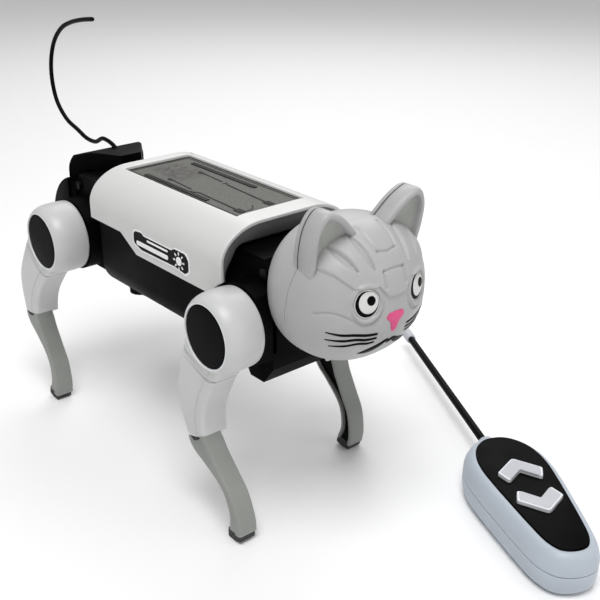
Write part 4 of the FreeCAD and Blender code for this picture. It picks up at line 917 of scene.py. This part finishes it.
levels = [head_ring(seam - 0.1, 2.0), head_ring(REAR_X + 0.3, 2.0), head_ring(REAR_X, 1.4),
          head_ring(REAR_X + 0.05, 0.5)]
levels += [head_ring(REAR_X + 0.5 + (seam - 0.4 - REAR_X - 0.5) * share) for share in np.linspace(0, 1, 26)]
levels += [head_ring(seam - 0.1, 0.25), head_ring(seam - 0.1, 2.0)]
points, faces = loft(levels, capped=False)
make_piece("head_back", points, faces, "head_grey_plastic", "head", "head_grey_plastic", ["head_back_shell"],
           sharp=60.0)
levels = [head_ring(seam + place, inset) for place, inset in ((-0.3, 1.8), (-0.3, 0.4), (0.3, 0.4),
                                                              (0.3, 1.8), (-0.3, 1.8))]
points, faces = loft(levels, capped=False)
make_piece("head_seam", points, faces, "seam_shadow", "head", "black_plastic", sharp=30.0)


def head_lift_points(flat_points, heights):
    """Puts (y, z) points on the finished face, each raised by its height."""
    bare = np.array([on_head(y, z) for y, z in flat_points])
    normals = head_normal(bare)
    return bare + normals * (lift_smooth(bare) + np.array(heights))[:, None]


def lift_smooth(points):
    """The face's lift without its fine grooves, for paint that lies over them."""
    side_y, z = np.abs(points[:, 1]), points[:, 2]
    brow = np.interp(side_y, BROW_Y, BROW_Z)
    step = np.clip((z - brow) / 0.9 + 0.5, 0, 1)
    return 0.85 * step * step * (3 - 2 * step)


def head_patch(name, outline, height, finish, dome=0.0, base=-0.5, rings=12):
    """A raised patch on the face with the given (y, z) outline."""
    outline = np.array(outline, float)
    centre = outline.mean(axis=0)
    levels, heights = [], []
    for share in np.linspace(0.02, 1.0, rings):
        levels.append(centre + (outline - centre) * share)
        heights.append(height + dome * (1 - share ** 2) - 0.12 * max(0.0, (share - 0.9) / 0.1))
    levels.append(outline)
    heights.append(base)
    rings3 = [head_lift_points(level, [up_] * len(outline)) for level, up_ in zip(levels, heights)]
    points, faces = loft(rings3)
    make_piece(name, points, faces, finish, "head", "head_grey_plastic", sharp=50.0)


def head_stroke(name, line, widths, finish, height=0.14):
    """A painted stroke over the face along (y, z) points, with a width at each."""
    fine = smooth_line(line, 40)
    wide = np.interp(np.linspace(0, 1, 40), np.linspace(0, 1, len(widths)), widths)
    tangents = np.gradient(fine, axis=0)
    tangents /= np.linalg.norm(tangents, axis=1)[:, None]
    normals = np.stack([-tangents[:, 1], tangents[:, 0]], axis=1)
    rings3 = []
    for centre, normal, width in zip(fine, normals, wide):
        flat = [centre + normal * width * share for share in (-0.5, -0.4, 0.0, 0.4, 0.5, 0.3, -0.3)]
        rings3.append(head_lift_points(flat, [0.0, height, height * 1.2, height, 0.0, -0.4, -0.4]))
    points, faces = loft(rings3)
    make_piece(name, points, faces, finish, "head", "head_grey_plastic", sharp=50.0)


def oval(centre, size, count=64):
    angles = np.linspace(0, 2 * math.pi, count, endpoint=False)
    return [(centre[0] + size[0] * math.cos(a), centre[1] + size[1] * math.sin(a)) for a in angles]


# Whiskers of the left side as a name, a (y, z) line and its widths; the right side mirrors them.
WHISKERS = [
    ("top", [(24.9, 100.6), (20.6, 99.4), (16.6, 99.1), (11.8, 98.2), (7.4, 97.8)],
     [0.4, 1.15, 1.25, 1.3, 1.15]),
    ("middle", [(24.5, 97.4), (20.0, 96.8), (15.6, 96.9), (11.6, 96.1), (7.3, 96.0)],
     [0.4, 1.15, 1.25, 1.25, 1.05]),
    ("low", [(22.9, 94.4), (18.5, 94.3), (14.5, 94.8), (10.6, 94.2), (7.9, 94.3)],
     [0.4, 1.05, 1.15, 1.15, 0.85]),
]

for side, label in ((LEFT, "left"), (RIGHT, "right")):
    middle = (side * EYE_PLACE[0], EYE_PLACE[1])
    head_patch("eye_rim_" + label, oval(middle, (4.75, 5.35)), -0.05, "eye_white_paint", base=-0.9)
    head_patch("eye_ring_" + label, oval((middle[0] - 0.05, middle[1] + 0.02), (4.4, 4.95)), 0.05,
               "ink_paint")
    head_patch("eye_ball_" + label, oval((middle[0] + 0.4, middle[1] + 0.5), (3.75, 4.2)), 0.12,
               "eye_white_paint", dome=0.45)
    head_patch("eye_pupil_" + label, oval((middle[0] + 1.1, middle[1] + 1.3), (1.65, 1.8)), 0.62,
               "ink_paint", dome=0.12, base=0.1)
    for row, line, widths in WHISKERS:
        head_stroke("whisker_%s_%s" % (row, label), [(side * y, z) for y, z in line], widths, "ink_paint")

NOSE = [(-4.5, 103.4, 0.8), (-3.4, 105.2, 1.0), (0.0, 105.4, 2.0), (3.4, 105.2, 1.0), (4.5, 103.4, 0.8),
        (2.2, 101.3, 1.2), (1.0, 97.6, 0.9),
        (0.0, 96.6, 0.7), (-1.0, 97.6, 0.9), (-2.2, 101.3, 1.2)]
head_patch("nose", rounded(NOSE), 0.45, "nose_pink_paint", dome=0.5)
MOUTH = [(-12.0, 89.4), (-10.2, 89.5), (-7.6, 90.0), (-4.6, 91.2), (-1.7, 92.9), (0.0, 92.1), (1.7, 92.9),
         (4.6, 91.2), (7.6, 90.0), (10.2, 89.5), (12.0, 89.4)]
head_stroke("mouth", MOUTH, [0.4, 2.6, 3.3, 2.8, 2.0, 1.8, 2.0, 2.8, 3.3, 2.6, 0.4], "ink_paint")

# ------------------------------------------------------------------ ears

EAR_LINE = [(24.0, 114.0), (27.4, 123.5), (27.8, 133.0), (26.2, 139.6), (22.6, 143.6), (17.2, 142.2),
            (11.2, 137.6),
            (5.6, 130.3), (8.0, 121.0)]
EAR_MIDDLE = np.array([18.6, 128.0])


def ear_ring(side, x, inset):
    """The ear's outline drawn in by inset, leaning forward with the seam."""
    outline = smooth_line(EAR_LINE, 96, closed=True)
    inwards = outline - EAR_MIDDLE
    reach = np.linalg.norm(inwards, axis=1)[:, None]
    drawn = EAR_MIDDLE + inwards * (1 - inset / reach)
    return [(x + SEAM_LEAN * (z - HEAD[2]), side * y, z) for y, z in drawn]


for side, label in ((LEFT, "left"), (RIGHT, "right")):
    front = [
        ear_ring(side, SEAM_X + 0.25, 3.0), ear_ring(side, SEAM_X + 0.25, 0.35),
        ear_ring(side, SEAM_X + 0.6, 0.0), ear_ring(side, 96.6, 0.0),
        ear_ring(side, 98.0, 0.15), ear_ring(side, 98.9, 0.55), ear_ring(side, 99.35, 1.1),
        ear_ring(side, 99.5, 1.8),
        ear_ring(side, 99.4, 2.5), ear_ring(side, 99.05, 2.9), ear_ring(side, 97.6, 3.2),
        ear_ring(side, 97.2, 3.6), ear_ring(side, 96.6, 6.0),
        ear_ring(side, 96.3, 9.0),
    ]
    points, faces = loft(front)
    piece = make_piece("ear_front_" + label, points, faces, "head_grey_plastic", "head", "head_grey_plastic",
                       sharp=50.0)
    piece.data.materials.append(FINISHES["ear_lining_plastic"])
    lining_low, lining_high = 96.0 * MM, 98.5 * MM
    for polygon in piece.data.polygons:
        if abs(polygon.normal.x) > 0.85 and lining_low < polygon.center.x - SEAM_LEAN * (polygon.center.z - HEAD[2] * MM) < lining_high:
            polygon.material_index = 1
    back = [
        ear_ring(side, SEAM_X - 0.25, 3.0), ear_ring(side, SEAM_X - 0.25, 0.35),
        ear_ring(side, SEAM_X - 0.6, 0.0), ear_ring(side, 90.3, 0.1),
        ear_ring(side, 89.6, 0.5), ear_ring(side, 89.1, 1.2), ear_ring(side, 88.9, 2.4),
        ear_ring(side, 88.8, 8.0),
    ]
    points, faces = loft(back)
    make_piece("ear_back_" + label, points, faces, "head_grey_plastic", "head", "head_grey_plastic",
               sharp=50.0)
    points, faces = loft([ear_ring(side, SEAM_X - 0.3, 0.45), ear_ring(side, SEAM_X + 0.3, 0.45)])
    make_piece("ear_seam_" + label, points, faces, "seam_shadow", "head", "black_plastic", sharp=50.0)

# ------------------------------------------------------------------ remote control

REMOTE_PLACE = np.array([188.0, 33.0, 0.0])
REMOTE_HEADING = math.radians(151.6)
REMOTE_LONG, REMOTE_HALF_WIDE = 90.0, 19.5
REMOTE_SHAPE = [
    (0.0, 0.0), (0.012, 0.30), (0.05, 0.53), (0.13, 0.70), (0.26, 0.80), (0.42, 0.89), (0.58, 0.97),
    (0.70, 1.0), (0.80, 0.95),
    (0.89, 0.80), (0.955, 0.56), (0.99, 0.30), (1.0, 0.0),
]


def remote_frame(points):
    """Points from the remote's own frame (along, across, up) to the row frame."""
    c, s = math.cos(REMOTE_HEADING), math.sin(REMOTE_HEADING)
    return [(REMOTE_PLACE[0] + a * c - b * s, REMOTE_PLACE[1] + a * s + b * c, REMOTE_PLACE[2] + up) for a,
            b, up in points]


def remote_loop(inset, up):
    shape = [(REMOTE_LONG * a, REMOTE_HALF_WIDE * b) for a, b in REMOTE_SHAPE]
    whole = shape + [(a, -b) for a, b in reversed(shape[1:-1])]
    outline = smooth_line(whole, 120, closed=True)
    steps = np.roll(outline, -1, axis=0) - np.roll(outline, 1, axis=0)
    steps /= np.linalg.norm(steps, axis=1)[:, None]
    inwards = np.stack([steps[:, 1], -steps[:, 0]], axis=1)
    drawn = outline + inwards * inset
    return [(a, b, up) for a, b in drawn]


def remote_piece(name, shape, finish, slot, body="remote", replaced=(), **options):
    points, faces = shape
    return make_piece(name, remote_frame(points), faces, finish, body, slot, replaced, **options)


BUTTON_ROOM = 0.4
CHEVRON = [(66.0, 0.0, 1.8), (57.0, 10.0, 1.0), (50.5, 7.4, 1.0), (57.4, 0.0, 0.8), (50.5, -7.4, 1.0),
           (57.0, -10.0, 1.0)]
BUTTONS = (("forward", 0.0, 1), ("reverse", 94.0, -1))


def button_outline(low, flip, grow=0.0):
    """A button's outline along and across the remote, moved outwards by grow."""
    outline = rounded([(low + flip * a, b, r) for a, b, r in CHEVRON], 5)
    steps = np.roll(outline, -1, axis=0) - np.roll(outline, 1, axis=0)
    steps /= np.linalg.norm(steps, axis=1)[:, None]
    turning = np.roll(outline, -1, axis=0)
    area = np.sum(outline[:, 0] * turning[:, 1] - turning[:, 0] * outline[:, 1])
    outwards = np.stack([steps[:, 1], -steps[:, 0]], axis=1) * np.sign(area)
    return outline + outwards * grow


def pierced(piece):
    """Cuts the room of the two buttons through a piece of the remote."""
    for name, low, flip in BUTTONS:
        points, faces = slab(button_outline(low, flip, BUTTON_ROOM), 12.0, 25.0)
        mesh = bpy.data.meshes.new(name + "_room")
        mesh.from_pydata([tuple(float(c) * MM for c in point) for point in remote_frame(points)], [], faces)
        cutter = bpy.data.objects.new(name + "_room", mesh)
        scene.collection.objects.link(cutter)
        bm = bmesh.new()
        bm.from_mesh(mesh)
        bmesh.ops.recalc_face_normals(bm, faces=bm.faces)
        bm.to_mesh(mesh)
        bm.free()
        cutter.matrix_world = piece.matrix_world.copy()
        cut = piece.modifiers.new("room", "BOOLEAN")
        cut.operation = "DIFFERENCE"
        cut.solver = "EXACT"
        cut.object = cutter
        bpy.context.view_layer.update()
        shaped = bpy.data.meshes.new_from_object(piece.evaluated_get(bpy.context.evaluated_depsgraph_get()))
        piece.modifiers.clear()
        piece.data = shaped
        bpy.data.objects.remove(cutter)
    piece.data.set_sharp_from_angle(angle=math.radians(50.0))


lower = [remote_loop(inset, up) for inset, up in
         ((6.0, 0.0), (3.6, 0.25), (2.0, 0.9), (0.9, 2.0), (0.3, 3.6), (0.05, 6.0), (0.0, 8.6), (0.12, 9.7),
          (0.5, 9.85))]
remote_piece("remote_lower_shell", loft(lower), "remote_grey_plastic", "remote_grey_plastic",
             replaced=["remote_back_shell"], sharp=50.0)
upper = [remote_loop(inset, up) for inset, up in
         ((0.5, 10.05), (0.12, 10.2), (0.05, 10.6), (0.15, 12.6), (0.6, 14.6), (1.4, 16.4), (2.5, 17.8),
          (3.6, 18.6), (4.6, 18.95), (5.4, 19.0))]
pierced(remote_piece("remote_upper_shell", loft(upper), "remote_grey_plastic", "remote_grey_plastic",
                     replaced=["remote_top_shell"], sharp=50.0))
remote_piece("remote_seam", loft([remote_loop(0.55, 9.7), remote_loop(0.55, 10.2)]), "seam_shadow",
             "black_plastic", sharp=50.0)
plate = [remote_loop(inset, up) for inset, up in ((4.8, 18.6), (4.8, 19.35), (5.0, 19.55), (5.4, 19.62))]
pierced(remote_piece("remote_plate", loft(plate), "black_gloss_plastic", "black_plastic",
                     replaced=["remote_face_plate"], sharp=50.0))
for name, low, flip in BUTTONS:
    outline = button_outline(low, flip)
    centre = outline.mean(axis=0)
    smaller = centre + (outline - centre) * 0.90
    remote_piece("remote_%s_rim" % name, slab(outline, 15.0, 21.0), "button_edge_plastic",
                 "button_grey_plastic",
                 body=name + "_button", replaced=["remote_%s_button" % name], round_by=0.35)
    remote_piece("remote_%s_face" % name, slab(smaller, 20.0, 21.15), "button_grey_plastic",
                 "button_grey_plastic",
                 body=name + "_button", round_by=0.2)


def along_remote(stations, up=11.0, count=40):
    """A round shape along the remote's length from (along, radius) pairs."""
    rings = []
    for place, radius in stations:
        angles = np.linspace(0, 2 * math.pi, count, endpoint=False)
        rings.append([(place, radius * math.cos(a), up + radius * math.sin(a)) for a in angles])
    return loft(rings)


remote_piece("remote_collar", along_remote([(78.0, 7.6), (84.0, 7.0), (87.5, 5.9), (90.0, 4.8), (92.4, 4.1),
                                            (93.6, 3.9), (94.0, 3.6)]),
             "remote_grey_plastic", "remote_grey_plastic", sharp=50.0)
remote_piece("remote_aerial", along_remote([(92.0, 1.5), (94.0, 1.8), (120.0, 1.8), (150.0, 1.8),
                                            (180.0, 1.8), (203.0, 1.8)]),
             "black_wire", "black_wire", replaced=["remote_antenna"], sharp=50.0)
remote_piece("remote_aerial_cap", along_remote([(201.6, 2.3), (202.0, 2.62), (203.0, 2.7), (208.8, 2.7),
                                                (210.4, 2.5), (211.4, 2.05), (212.0, 1.2), (212.1, 0.4)]),
             "button_grey_plastic", "remote_grey_plastic", replaced=["remote_antenna_tip"], sharp=50.0)

# ------------------------------------------------------------------ inner CAD pieces keep their shape

slot_of = {part["node"]: part["material_slot"] for part in record["subparts"]}
for name, node in frame["nodes"].items():
    if node.hide_render:
        continue
    node.data.materials.clear()
    node.data.materials.append(FINISHES[slot_of[name]])
